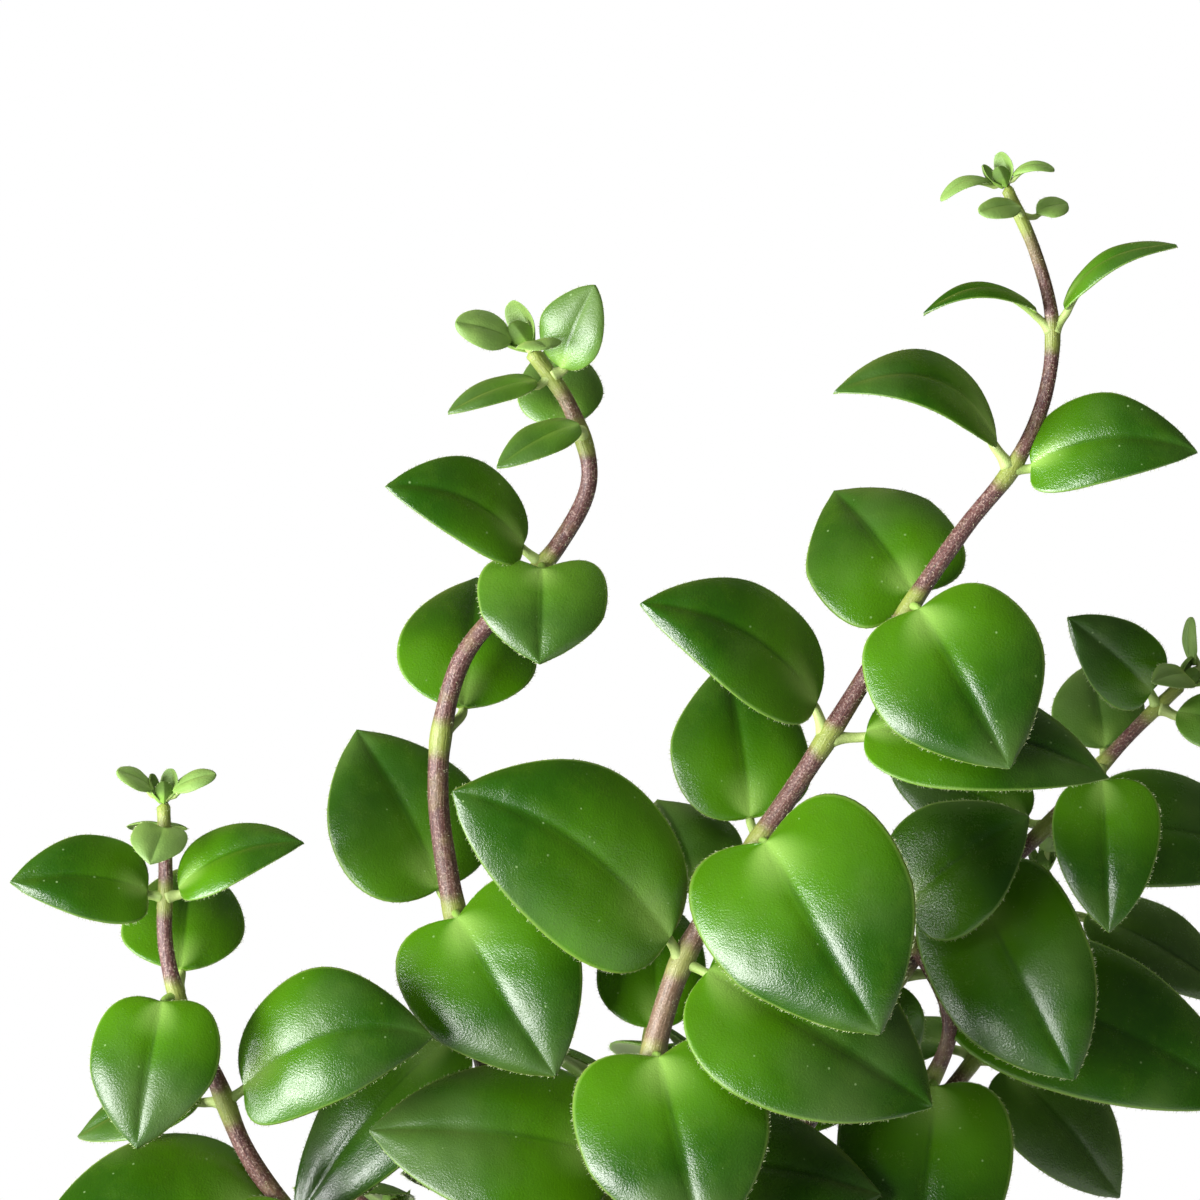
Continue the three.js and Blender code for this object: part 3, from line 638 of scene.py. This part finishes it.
class Mark:
    """A number or colour that varies over a surface. Arithmetic on numbers adds Math nodes."""

    def __init__(self, skin, socket):
        self.skin = skin
        self.socket = socket

    def __add__(self, other):
        return self.skin.maths("ADD", self, other)

    def __sub__(self, other):
        return self.skin.maths("SUBTRACT", self, other)

    def __rsub__(self, other):
        return self.skin.maths("SUBTRACT", other, self)

    def __mul__(self, other):
        return self.skin.maths("MULTIPLY", self, other)

    def __gt__(self, other):
        return self.skin.maths("GREATER_THAN", self, other)

    def __abs__(self):
        return self.skin.maths("ABSOLUTE", self)

    __radd__ = __add__
    __rmul__ = __mul__

    def between(self, low, high):
        """0 up to low, 1 from high, and smooth between them. Low may be above high."""
        flip = low > high
        ends = (high, low) if flip else (low, high)
        step = self.skin.node("ShaderNodeMapRange", {"interpolation_type": "SMOOTHSTEP"},
                              {"Value": self, "From Min": ends[0], "From Max": ends[1]})
        return 1 - step if flip else step


class Skin:
    """A finish and the nodes that make it."""

    def __init__(self, name, **finish):
        self.material = bpy.data.materials.new(name)
        self.material.use_nodes = True
        self.tree = self.material.node_tree
        self.shader = self.tree.nodes["Principled BSDF"]
        for socket, value in finish.items():
            self.shader.inputs[socket.replace("_", " ")].default_value = value
        self.place = self.node("ShaderNodeTexCoord", output="Object")

    def node(self, kind, settings=None, sockets=None, output=0):
        made = self.tree.nodes.new(kind)
        for name, value in (settings or {}).items():
            setattr(made, name, value)
        for name, value in (sockets or {}).items():
            if isinstance(value, Mark):
                self.tree.links.new(value.socket, made.inputs[name])
            else:
                made.inputs[name].default_value = value
        return Mark(self, made.outputs[output])

    def maths(self, operation, *values):
        return self.node("ShaderNodeMath", {"operation": operation}, dict(enumerate(values)))

    def mark(self, name):
        return self.node("ShaderNodeAttribute", {"attribute_name": name}, output="Fac")

    def noise(self, scale, detail=3, roughness=0.5, place=None):
        return self.node("ShaderNodeTexNoise", None,
                         {"Vector": place or self.place, "Scale": scale, "Detail": detail,
                          "Roughness": roughness})

    def cells(self, scale, output="Distance"):
        return self.node("ShaderNodeTexVoronoi", None, {"Vector": self.place, "Scale": scale}, output)

    def mix(self, share, low, high):
        colours = [value if isinstance(value, Mark) else (*value, 1) for value in (low, high)]
        return self.node("ShaderNodeMix", {"data_type": "RGBA", "clamp_factor": True},
                         {0: share, 6: colours[0], 7: colours[1]}, 2)

    def vector(self, x, y, z):
        return self.node("ShaderNodeCombineXYZ", None, {"X": x, "Y": y, "Z": z})

    def set(self, socket, value):
        self.tree.links.new(value.socket, self.shader.inputs[socket])

    def bump(self, *layers):
        """Layers of (height, distance in metres, strength), each on top of the one before."""
        under = None
        for height, distance, strength in layers:
            sockets = {"Height": height, "Distance": distance, "Strength": strength}
            if under:
                sockets["Normal"] = under
            under = self.node("ShaderNodeBump", None, sockets)
        self.set("Normal", under)


def leaf_skin(name, young):
    """Waxy leaf: paler near the stalk, where painted light shines through, deep towards the tip, with
    painted shade in the midrib groove and on back leaves and a painted olive sheen; pale and dull below,
    with a pale rim.
    """
    skin = Skin(name, Specular_IOR_Level=0.5, Sheen_Weight=0.12, Sheen_Roughness=0.5,
                Sheen_Tint=(0.75, 0.80, 0.15, 1))
    along = skin.mark("along")
    aside = abs(skin.mark("aside"))
    upper = skin.mark("upper")
    youth = skin.mark("youth")
    tint = skin.mark("tint")
    broad = skin.noise(70, 2)
    cloud = skin.noise(260, 3, 0.6)
    fine = skin.noise(3100, 2, 0.6)

    # Painted light: the leaf is paler near the stalk, where light shines through its base, with random
    # tone from broad noise and from the leaf's tint.
    glow = (along.between(0.85, 0.1) + broad * 0.5 + tint * 0.12 - 0.35).between(0, 1)
    colour = skin.mix(glow, *LEAF_GREENS)
    colour = skin.mix(cloud.between(0.45, 0.7) * 0.2, colour, CLOUDED_GREEN)
    colour = skin.mix(youth * 0.8 + young, colour, skin.mix(cloud, *YOUNG_GREENS))
    # Painted shade: a leaf with a low tint, as back leaves have, is turned towards the shaded olive
    # greens.
    shaded = (0 - tint).between(0.7, 1.8) * 0.6
    colour = skin.mix(shaded, colour, skin.mix(cloud, *SHADED_GREENS))
    # Painted shade: a dark line down the groove above the midrib, fading at both ends.
    midrib = aside.between(0.05, 0.0) * along.between(0.05, 0.2) * along.between(1.0, 0.7)
    colour = skin.mix(midrib * 0.45, colour, MIDRIB_GROOVE_SHADE)
    # Painted sheen: a greyish olive veil, stronger towards the tip, in place of light glancing off the
    # leaf's fine hairs; the same mask also roughens the leaf.
    painted_sheen = (skin.noise(45, 2) + along * 0.35 - 0.66).between(0, 0.32) * 0.42
    colour = skin.mix(painted_sheen, colour, PAINTED_SHEEN_GREEN)
    foot = along.between(0.30, 0.0) * aside.between(0.55, 0.05)
    colour = skin.mix(foot * 0.65, colour, LEAF_FOOT_GREEN)
    colour = skin.mix(1 - upper, colour, skin.mix(glow, *UNDERSIDE_GREENS))
    rim = aside.between(0.955, 0.995)
    colour = skin.mix(rim * 0.5, colour, RIM_GREEN)
    colour = skin.mix(skin.mark("stalk"), colour, skin.mix(cloud, *STALK_GREENS))
    speck = skin.cells(420).between(0.10, 0.05) * (skin.cells(420, "Color") > 0.62)
    colour = skin.mix(speck * 0.35, colour, SPECK_GREEN)

    skin.set("Base Color", colour)
    skin.set("Roughness", 0.14 + cloud * 0.12 + fine * 0.10 + painted_sheen * 0.3 + (1 - upper) * 0.22
             + youth * 0.28 + rim * 0.2)
    skin.bump((broad, 0.002, 0.5), (skin.noise(900, 2), 0.0004, 0.06), (fine, 0.00012, 0.65))
    return skin.material


def stem_skin():
    """Purple-brown bark, finely streaked and freckled, and yellow-green where the leaves join."""
    skin = Skin("stem_skin", Specular_IOR_Level=0.45)
    run = skin.mark("run")
    east = skin.mark("east")
    north = skin.mark("north")
    joint = skin.mark("joint")
    along = skin.mark("along")
    streak = skin.noise(1.0, 3, 0.6, skin.vector(run * 0.3, east * 5, north * 5))
    cloud = skin.noise(220, 3, 0.6)
    freckle = skin.noise(3000, 2, 0.7)

    colour = skin.mix(streak.between(0.3, 0.7), *BARKS)
    colour = skin.mix(freckle.between(0.50, 0.68) * 0.5, colour, BARK_FRECKLE)
    colour = skin.mix(cloud.between(0.5, 0.75) * 0.5, colour, BARK_OLIVE)
    green = skin.mix(streak, *JOINT_GREENS)
    colour = skin.mix((joint + cloud * 0.7 - 0.45).between(0.05, 0.75) * 0.8, colour, green)
    colour = skin.mix(along.between(0.93, 1.0) * 0.8, colour, green)
    colour = skin.mix(along.between(0.62, 0.25) * 0.5, colour, skin.mix(streak, *OLD_BARKS))

    skin.set("Base Color", colour)
    skin.set("Roughness", 0.32 + freckle * 0.22)
    skin.bump((streak, 0.0003, 0.5), (freckle, 0.00012, 0.6), (skin.noise(3200, 2), 0.0001, 0.4))
    return skin.material


def pot_skin():
    """Matte terracotta-coloured plastic with a fine moulded grain, cloudy and lightly scuffed."""
    skin = Skin("pot_plastic", Specular_IOR_Level=0.45)
    cloud = skin.noise(30, 4, 0.6)
    grain = skin.noise(2400, 2, 0.5)
    flattened = skin.node("ShaderNodeMapping", None, {"Vector": skin.place, "Scale": (90, 90, 700)})
    scuff = skin.noise(1.0, 4, 0.7, flattened)
    colour = skin.mix(cloud.between(0.35, 0.7), *TERRACOTTAS)
    colour = skin.mix(scuff.between(0.62, 0.78) * 0.25, colour, POT_SCUFF)
    skin.set("Base Color", colour)
    skin.set("Roughness", 0.48 + cloud * 0.15 + scuff * 0.08)
    skin.bump((grain, 0.0002, 0.5), (scuff, 0.0001, 0.2))
    return skin.material


def mix_skin(name, dark, pale, scale):
    """A dull, crumbly finish that's cloudy between two colours. A larger scale is finer."""
    skin = Skin(name, Specular_IOR_Level=0.2)
    cloud = skin.noise(scale, 5, 0.7)
    crumb = skin.cells(scale * 6)
    colour = skin.mix(cloud.between(0.3, 0.7), dark, pale)
    skin.set("Base Color", colour)
    skin.set("Roughness", 0.85 + cloud * 0.1)
    skin.bump((cloud, 0.002, 0.7), (crumb, 0.0006, 0.6))
    return skin.material


mature_leaf = leaf_skin("leaf_skin", 0.0)
young_leaf = leaf_skin("young_leaf_skin", 0.12)
bark = stem_skin()
pot_plastic = pot_skin()
soil = mix_skin("potting_mix", *PEATS, 240)
chips = mix_skin("mix_chips", *CHIP_BROWNS, 500)
perlite = mix_skin("mix_perlite", *PERLITE_GREYS, 600)
hair_skin = mix_skin("hair_skin", *HAIR_GREENS, 300)


def settle(piece, material, node=None):
    """Gives a finished piece its material and its body, and hides the CAD node that it stands for."""
    piece.data.materials.clear()
    piece.data.materials.append(material)
    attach(piece, "root")
    if node:
        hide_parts(node)


# ---- The plant ----

stems = {name.removesuffix("_stem"): read_stem(name)
         for name in sorted(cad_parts) if name.endswith("_stem")}
bunches = []
for node in sorted(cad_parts):
    kind = "_leaves_" if "_leaves_" in node else "_shoot_tip"
    owner = node.split(kind)[0]
    if kind not in node:
        continue
    blades, spot = read_leaves(node, stems[owner])
    bunches.append((node, owner, blades))
    stems[owner].joints.append(spot)

for node, owner, blades in bunches:
    pieces = []
    for number, blade in enumerate(blades):
        # Leaves further back get a lower tint, which paints shade on them; heart-shaped ones are lowered
        # too.
        behind = float(ease(blade.tip[1], BACK_START, BACK_END))
        tint = draw.uniform(-0.7, 0.7) - BACK_SHADING * behind - HEART_DULLNESS * blade.heartlike
        pieces.append(leaf(blade, f"{node}_{number}", tint))
        pieces.append(stalk(blade, f"{node}_{number}_stalk", tint))
    tip = node.endswith("_shoot_tip")
    if tip:
        pieces += bud(stems[owner], f"{node}_bud", BUD_SCALE.get(owner, 1.0))
    piece = join(pieces, f"{node}_fine")
    settle(piece, young_leaf if tip else mature_leaf, node)

for name, stem in stems.items():
    settle(stem_piece(f"{name}_stem_fine", stem), bark, f"{name}_stem")


# ---- Shoots that fill the plant out round the rim and behind ----

def samples(blade):
    """Points spread over a blade, for telling how near it comes to others."""
    share, lean = (grid.ravel() for grid in np.meshgrid(np.linspace(0.05, 1, 9), np.linspace(-1, 1, 7)))
    half = 0.5 * blade.width * np.sin(math.pi * share) ** 0.6
    return (blade.midrib(share) + blade.across * (lean * half)[:, None]
            + blade.up * (blade.cup * half * lean ** 2)[:, None])


crowd = [samples(blade) for _, _, blades in bunches for blade in blades]
crowd += [stem.centres for stem in stems.values()]


def fits(points, gap):
    """Whether points keep inside the box, clear of the pot, below the ceiling and off the rest."""
    if (points < ROOM[0]).any() or (points > ROOM[1]).any():
        return False
    reach = np.hypot(points[:, 0], points[:, 1])
    if ((points[:, 2] < RIM_TOP + 2 * MM) & (reach > INNER_RIM)).any():
        return False
    if (points[:, 2] < MIX_TOP + 3 * MM).any():
        return False
    front = points[:, 1] < FRONT_EDGE
    ceiling = np.interp(points[:, 0], CEILING[:, 0], CEILING[:, 1]) - CEILING_SLOPE * points[:, 1]
    if (points[:, 2] > np.where(front, FRONT_TOP, ceiling)).any():
        return False
    others = np.concatenate(crowd)
    others = others[np.linalg.norm(others - points.mean(axis=0), axis=1) < NEARBY]
    return len(others) == 0 or np.linalg.norm(points[:, None] - others[None], axis=2).min() > gap


def shoot_path(turn, rise):
    """A way from the mix up and out over the rim, or None where nothing clear is found."""
    for _ in range(PATH_TRIES):
        way = turn + draw.uniform(-0.25, 0.25)
        room = min((ROOM[1] if math.cos(way) > 0 else -ROOM[0])[0] / max(abs(math.cos(way)), 0.01),
                   (ROOM[1] if math.sin(way) > 0 else -ROOM[0])[1] / max(abs(math.sin(way)), 0.01))
        end = min(room - 14 * MM, draw.uniform(44, 66) * MM)
        foot = draw.uniform(14, 38) * MM
        top = rise * draw.uniform(0.85, 1.1)
        reach = np.array([foot, foot + 3 * MM, 0.45 * foot + 0.55 * end, end])
        heights = MIX_TOP + np.array([-4 * MM, 0.35 * top, 0.85 * top, top])
        side = way + draw.uniform(-0.3, 0.3)
        spread = np.array([side, side, 0.5 * (side + way), way])
        knots = np.stack([reach * np.cos(spread), reach * np.sin(spread), heights], axis=1)
        path = smooth_through(knots, 40)
        if fits(path[18:], STEM_GAP):
            return path
    return None


def shoot_blade(stem, spot, turn, size):
    """A leaf that finds its room beside a shoot, or None."""
    tangent = unit(stem.centres[min(spot + 1, len(stem.centres) - 1)] - stem.centres[spot - 1])
    first, second = crosswise(tangent[None])
    for attempt in range(LEAF_TRIES):
        angle = turn + draw.uniform(-0.5, 0.5)
        out = math.cos(angle) * first[0] + math.sin(angle) * second[0]
        way = unit(out + draw.uniform(-0.1, 0.75) * tangent + [0, 0, draw.uniform(-0.35, 0.35)])
        length = size * (1 - 0.018 * attempt)
        radius = float(stem.radii[spot])
        base = stem.centres[spot] + out * (radius + 0.9 * MM) + way * 0.1 * length
        up = tangent + [0, 0, 0.6]
        up = unit(up - way * (up @ way))
        blade = grown_blade(base, way, length, 0.11, up, length * draw.uniform(0.76, 0.86), 0.12,
                            draw.choice((0.1, 0.1, 0.13, 0.15)), stem.centres[spot], radius)
        if fits(samples(blade), LEAF_GAP):
            return blade
    return None


def shoot(name, turn, rise):
    """A leafy shoot that grows out over the rim, with the leaves that find room, or nothing."""
    path = shoot_path(turn, rise)
    if path is None:
        return
    length = np.linalg.norm(np.diff(path, axis=0), axis=1).sum()
    stem = Stem(path, np.linspace(1.7, 1.0, len(path)) * MM, [])
    pairs = max(2, int((length - 12 * MM) / (13 * MM)))
    pieces = []
    blades = []
    for number, share in enumerate(np.linspace(0.97, 0.36, pairs)):
        spot = int(share * (len(path) - 1))
        size = (12 + 16 * min(1, number / 1.5)) * MM * draw.uniform(0.88, 1.1)
        for side in (0, 1):
            blade = shoot_blade(stem, spot, number * math.pi / 2 + side * math.pi + turn, size)
            if blade:
                blades.append(blade)
                crowd.append(samples(blade))
                stem.joints.append(spot)
    crowd.append(path)
    for number, blade in enumerate(blades):
        tint = draw.uniform(-0.9, 0.6)
        pieces.append(leaf(blade, f"{name}_{number}", tint, filler_form))
        pieces.append(stalk(blade, f"{name}_{number}_stalk", tint))
    pieces += bud(stem, f"{name}_bud")
    settle(join(pieces, f"{name}_leaves"), mature_leaf)
    settle(stem_piece(f"{name}_stem", stem), bark)


def side_shoot(name, owner, height, reach):
    """A short pale shoot that curls out of a stem, with two pairs of tiny leaves."""
    stem = stems[owner]
    spot = int(np.argmin(np.abs(stem.centres[:, 2] - height)))
    root = stem.centres[spot]
    knots = root + np.array([(0, 0, 0), (0.35, 0.05, 0.3), (0.8, 0, 0.25), (1, -0.05, -0.2)]) * reach
    path = smooth_through(knots, 14)
    pieces = []
    tiny_leaves = ((8, 0.3, 4.6), (8, 3.4, 4.4), (12, 1.6, 4.0), (12, 4.7, 4.0))
    for number, (spot, turn, size) in enumerate(tiny_leaves):
        tangent = unit(path[spot + 1] - path[spot - 1])
        first, second = crosswise(tangent[None])
        out = math.cos(turn) * first[0] + math.sin(turn) * second[0]
        way = unit(out + 0.5 * tangent)
        up = unit(tangent - way * (tangent @ way))
        blade = grown_blade(path[spot] + 1.1 * MM * out, way, size * MM, 0.12, up, 0.6 * size * MM, 0.2,
                            heart=path[spot], radius=0.6 * MM)
        pieces.append(leaf(blade, f"{name}_{number}", 0.6))
        pieces.append(stalk(blade, f"{name}_{number}_stalk", 0.6))
    little = Stem(path, np.linspace(0.75, 0.5, 14) * MM, [8, 12])
    settle(join(pieces, f"{name}_leaves"), young_leaf)
    settle(stem_piece(f"{name}_stem", little), bark)


def lone_leaf(name, owner, height, reach, width, up):
    """A leaf that stands behind a stem, off by itself. Its tip is a reach away from the stem."""
    stem = stems[owner]
    spot = int(np.argmin(np.abs(stem.centres[:, 2] - height)))
    heart = stem.centres[spot]
    reach = np.array(reach) * MM
    up = unit(np.array(up) - unit(reach) * (np.array(up) @ unit(reach)))
    blade = Blade(heart + 0.22 * reach, heart + reach, 0.1 * np.linalg.norm(reach) * up, up,
                  np.cross(unit(reach), up), width * MM, 0.12, PLAIN_LOBE, heart, float(stem.radii[spot]))
    stem.joints.append(spot)
    crowd.append(samples(blade))
    # A low tint paints this leaf, behind the stem, in shade.
    pieces = [leaf(blade, name, -1.2), stalk(blade, f"{name}_stalk", -1.2)]
    settle(join(pieces, name), mature_leaf)


side_shoot("side_shoot", "right", 179 * MM, 6.5 * MM)
lone_leaf("lone_leaf", "tall", 168 * MM, (-8, 15, 17), 20, (0.1, -0.8, 0.6))

for number in range(RIM_SHOOTS):
    shoot(f"rim_shoot_{number + 1}", math.tau * (number + 0.35) / RIM_SHOOTS, RIM_RISE)
for number in range(BACK_SHOOTS):
    rise = (BACK_RISE + BACK_EXTRA * (number % 2)) * MM
    shoot(f"back_shoot_{number + 1}", math.pi * (number + 0.5) / BACK_SHOOTS, rise)

for form in (leaf_form, filler_form, stalk_form):
    bpy.data.objects.remove(form.pattern)

deselect()
bpy.ops.mesh.primitive_cone_add(vertices=3, radius1=1, radius2=0, depth=1, location=(0, 0, 0.5))
bpy.ops.object.transform_apply(location=True)
hair = bpy.context.object
roots, ways, lengths = (np.concatenate(hairs[key]) for key in ("roots", "ways", "lengths"))
side, other = crosswise(ways)
turns = np.stack([side * HAIR_RADIUS, other * HAIR_RADIUS, ways * lengths[:, None]], axis=2)
parts = np.array_split(np.arange(len(roots)), math.ceil(len(roots) / HAIRS_IN_PIECE))
for number, part in enumerate(parts):
    piece = scatter(hair, f"fine_hairs_{number + 1}", roots[part], turns[part])
    settle(piece, hair_skin)
bpy.data.objects.remove(hair)

# ---- The pot and its mix ----

def rounded(outline, radius):
    """The outline with its inner corners turned into small arcs."""
    outline = [np.array(point, dtype=float) for point in outline]
    result = [outline[0]]
    for before, corner, after in zip(outline, outline[1:], outline[2:]):
        cut = min(radius, 0.45 * np.linalg.norm(before - corner), 0.45 * np.linalg.norm(after - corner))
        start = corner + cut * unit(before - corner)
        end = corner + cut * unit(after - corner)
        for t in np.linspace(0, 1, 5):
            result.append((1 - t) ** 2 * start + 2 * t * (1 - t) * corner + t ** 2 * end)
    return np.array(result + [outline[-1]])


def turned_piece(name, outline, sides):
    """A turned solid. Its outline runs from the axis below, round the outside, to the axis above."""
    form = Form(name, sides, len(outline) - 1)
    reach, height = outline[form.ring].T * MM
    places = np.stack([reach * np.cos(form.angle), reach * np.sin(form.angle), height], axis=1)
    reshape(form.pattern, places)
    return form


pot = turned_piece("pot_fine", rounded(POT_OUTLINE, POT_ROUNDING), POT_SIDES).pattern
holes = []
for number in range(DRAIN_HOLES):
    turn = math.tau * number / DRAIN_HOLES
    deselect()
    middle = (DRAIN_REACH * math.cos(turn), DRAIN_REACH * math.sin(turn), 4 * MM)
    bpy.ops.mesh.primitive_cylinder_add(vertices=32, radius=DRAIN_RADIUS, depth=14 * MM, location=middle)
    holes.append(bpy.context.object)
drill = join(holes, "drill")
deselect()
pot.select_set(True)
bpy.context.view_layer.objects.active = pot
drilled = pot.modifiers.new("drilled", "BOOLEAN")
drilled.operation = "DIFFERENCE"
drilled.solver = "EXACT"
drilled.object = drill
bpy.ops.object.modifier_apply(modifier="drilled")
bpy.ops.object.shade_smooth_by_angle(angle=SHARPEST_SMOOTH)
bpy.data.objects.remove(drill)
settle(pot, pot_plastic, "pot")


def mix_height(x, y):
    """The mix's top surface: low at the pot's wall, crowned in the middle and crumbly all over."""
    reach = np.hypot(x, y) / MM
    rough = np.array([noise.fractal(Vector((a / CRUMB_SIZE, b / CRUMB_SIZE, 0.4)), 0.6, 2.1, 4)
                      for a, b in zip(x, y)])
    crown = np.interp(reach, CROWN_REACHES, CROWN_HEIGHTS)
    return (crown - CRUMB_SINK + CRUMB_HEIGHT * rough) * MM


crown = np.stack([np.linspace(MIX_REACH, 0, MIX_RINGS), np.zeros(MIX_RINGS)], axis=1)
mix = turned_piece("potting_mix_fine", np.vstack([MIX_FLOOR, MIX_WALL, crown]), MIX_SIDES)
places = np.array([vertex.co for vertex in mix.pattern.data.vertices])
top = mix.ring >= len(MIX_FLOOR) + len(MIX_WALL)
places[top, 2] = mix_height(places[top, 0], places[top, 1])
places[mix.ring == mix.steps, 2] = places[mix.ring == mix.steps - 1, 2].mean()
reshape(mix.pattern, places)
settle(mix.pattern, soil, "potting_mix")


def strewn(pattern, name, count, low, high, material):
    """Grains of a size between low and high, in millimetres, that lie on the mix at every turn."""
    reach = STREWN_REACH * np.sqrt(scatterer.uniform(0, 1, count))
    turn = scatterer.uniform(0, math.tau, count)
    x, y = reach * np.cos(turn), reach * np.sin(turn)
    ways = units(scatterer.normal(size=(count, 3)) * (1, 1, 2.2))
    first, second = crosswise(ways)
    spin = scatterer.uniform(0, math.tau, count)[:, None]
    long = np.cos(spin) * first + np.sin(spin) * second
    sizes = scatterer.uniform(np.array(low), np.array(high), (count, 3)) * MM
    sides = (long * sizes[:, :1], np.cross(ways, long) * sizes[:, 1:2], ways * sizes[:, 2:])
    places = np.stack([x, y, mix_height(x, y) + 0.15 * sizes[:, 2]], axis=1)
    settle(scatter(pattern, name, places, np.stack(sides, axis=2)), material)
    bpy.data.objects.remove(pattern)


deselect()
bpy.ops.mesh.primitive_cube_add(size=1)
bpy.ops.object.mode_set(mode="EDIT")
bpy.ops.mesh.bevel(offset=0.16, segments=1)
bpy.ops.transform.vertex_random(offset=0.07, seed=3)
bpy.ops.object.mode_set(mode="OBJECT")
strewn(bpy.context.object, "bark_chips", 260, (3.0, 1.6, 0.8), (8.0, 4.0, 2.0), chips)
for name, count, low, high, material in (("perlite_grains", 150, (1.2,) * 3, (2.8,) * 3, perlite),
                                         ("mix_crumbs", 700, (0.6,) * 3, (2.0,) * 3, soil)):
    deselect()
    bpy.ops.mesh.primitive_ico_sphere_add(subdivisions=1, radius=0.5)
    bpy.ops.object.mode_set(mode="EDIT")
    bpy.ops.transform.vertex_random(offset=0.12, seed=5)
    bpy.ops.object.mode_set(mode="OBJECT")
    strewn(bpy.context.object, name, count, low, high, material)


# ---- The stage ----

deselect()
bpy.ops.mesh.primitive_circle_add(vertices=128, radius=FLOOR_RADIUS, fill_type="NGON",
                                  location=(0, 0, 0))
floor = bpy.context.object
floor.name = "floor"
paper = Skin("floor_paper", Roughness=0.8, Specular_IOR_Level=0.2)
paper.set("Base Color", paper.mix(paper.noise(3, 2), *PAPER_GREYS))
floor.data.materials.append(paper.material)

world = bpy.data.worlds.new("studio")
world.use_nodes = True
bpy.context.scene.world = world
nodes = world.node_tree.nodes
links = world.node_tree.links
nodes.remove(nodes["Background"])


def surround(strength):
    """A plain white surround of one brightness."""
    made = nodes.new("ShaderNodeBackground")
    made.inputs["Color"].default_value = (1, 1, 1, 1)
    made.inputs["Strength"].default_value = strength
    return made.outputs[0]


def chosen(ray, otherwise, surface):
    """One surround for a kind of ray, and another for the rest."""
    choice = nodes.new("ShaderNodeMixShader")
    for number, source in enumerate((ray, otherwise, surface)):
        links.new(source, choice.inputs[number])
    return choice.outputs[0]


rays = nodes.new("ShaderNodeLightPath").outputs
around = chosen(rays["Is Glossy Ray"], surround(LIT), surround(MIRRORED))
around = chosen(rays["Is Camera Ray"], around, surround(SEEN))
links.new(around, nodes["World Output"].inputs["Surface"])
bpy.context.scene.view_settings.view_transform = "Standard"


def aim(holder, place, target):
    """Puts a light or camera in its place and turns it to its target."""
    bpy.context.scene.collection.objects.link(holder)
    holder.location = place
    holder.rotation_euler = (Vector(target) - Vector(place)).to_track_quat("-Z", "Y").to_euler()


def soft_light(name, place, size, power, mirrored=False):
    """A wide soft light that is aimed at the plant. Only a mirrored one shows in gloss."""
    lamp = bpy.data.lights.new(name, "AREA")
    lamp.shape = "RECTANGLE"
    lamp.size, lamp.size_y = size
    lamp.energy = power
    holder = bpy.data.objects.new(name, lamp)
    holder.visible_glossy = mirrored
    aim(holder, place, PLANT_MIDDLE)


soft_light("low_window", (-1.25, -0.75, 0.1), (1.3, 0.8), 84, mirrored=True)
soft_light("high_window", (-0.5, -1.0, 1.5), (1.2, 1.0), 14)
soft_light("back_window", (0.5, 1.1, 1.4), (1.4, 1.0), 20)

lens = bpy.data.cameras.new("camera")
lens.sensor_width = SENSOR
lens.lens = SENSOR * DISTANCE / FIELD
camera = bpy.data.objects.new("camera", lens)
aim(camera, LOOK_AT + DISTANCE * np.array([0, -math.cos(ELEVATION), math.sin(ELEVATION)]), LOOK_AT)
bpy.context.scene.camera = camera
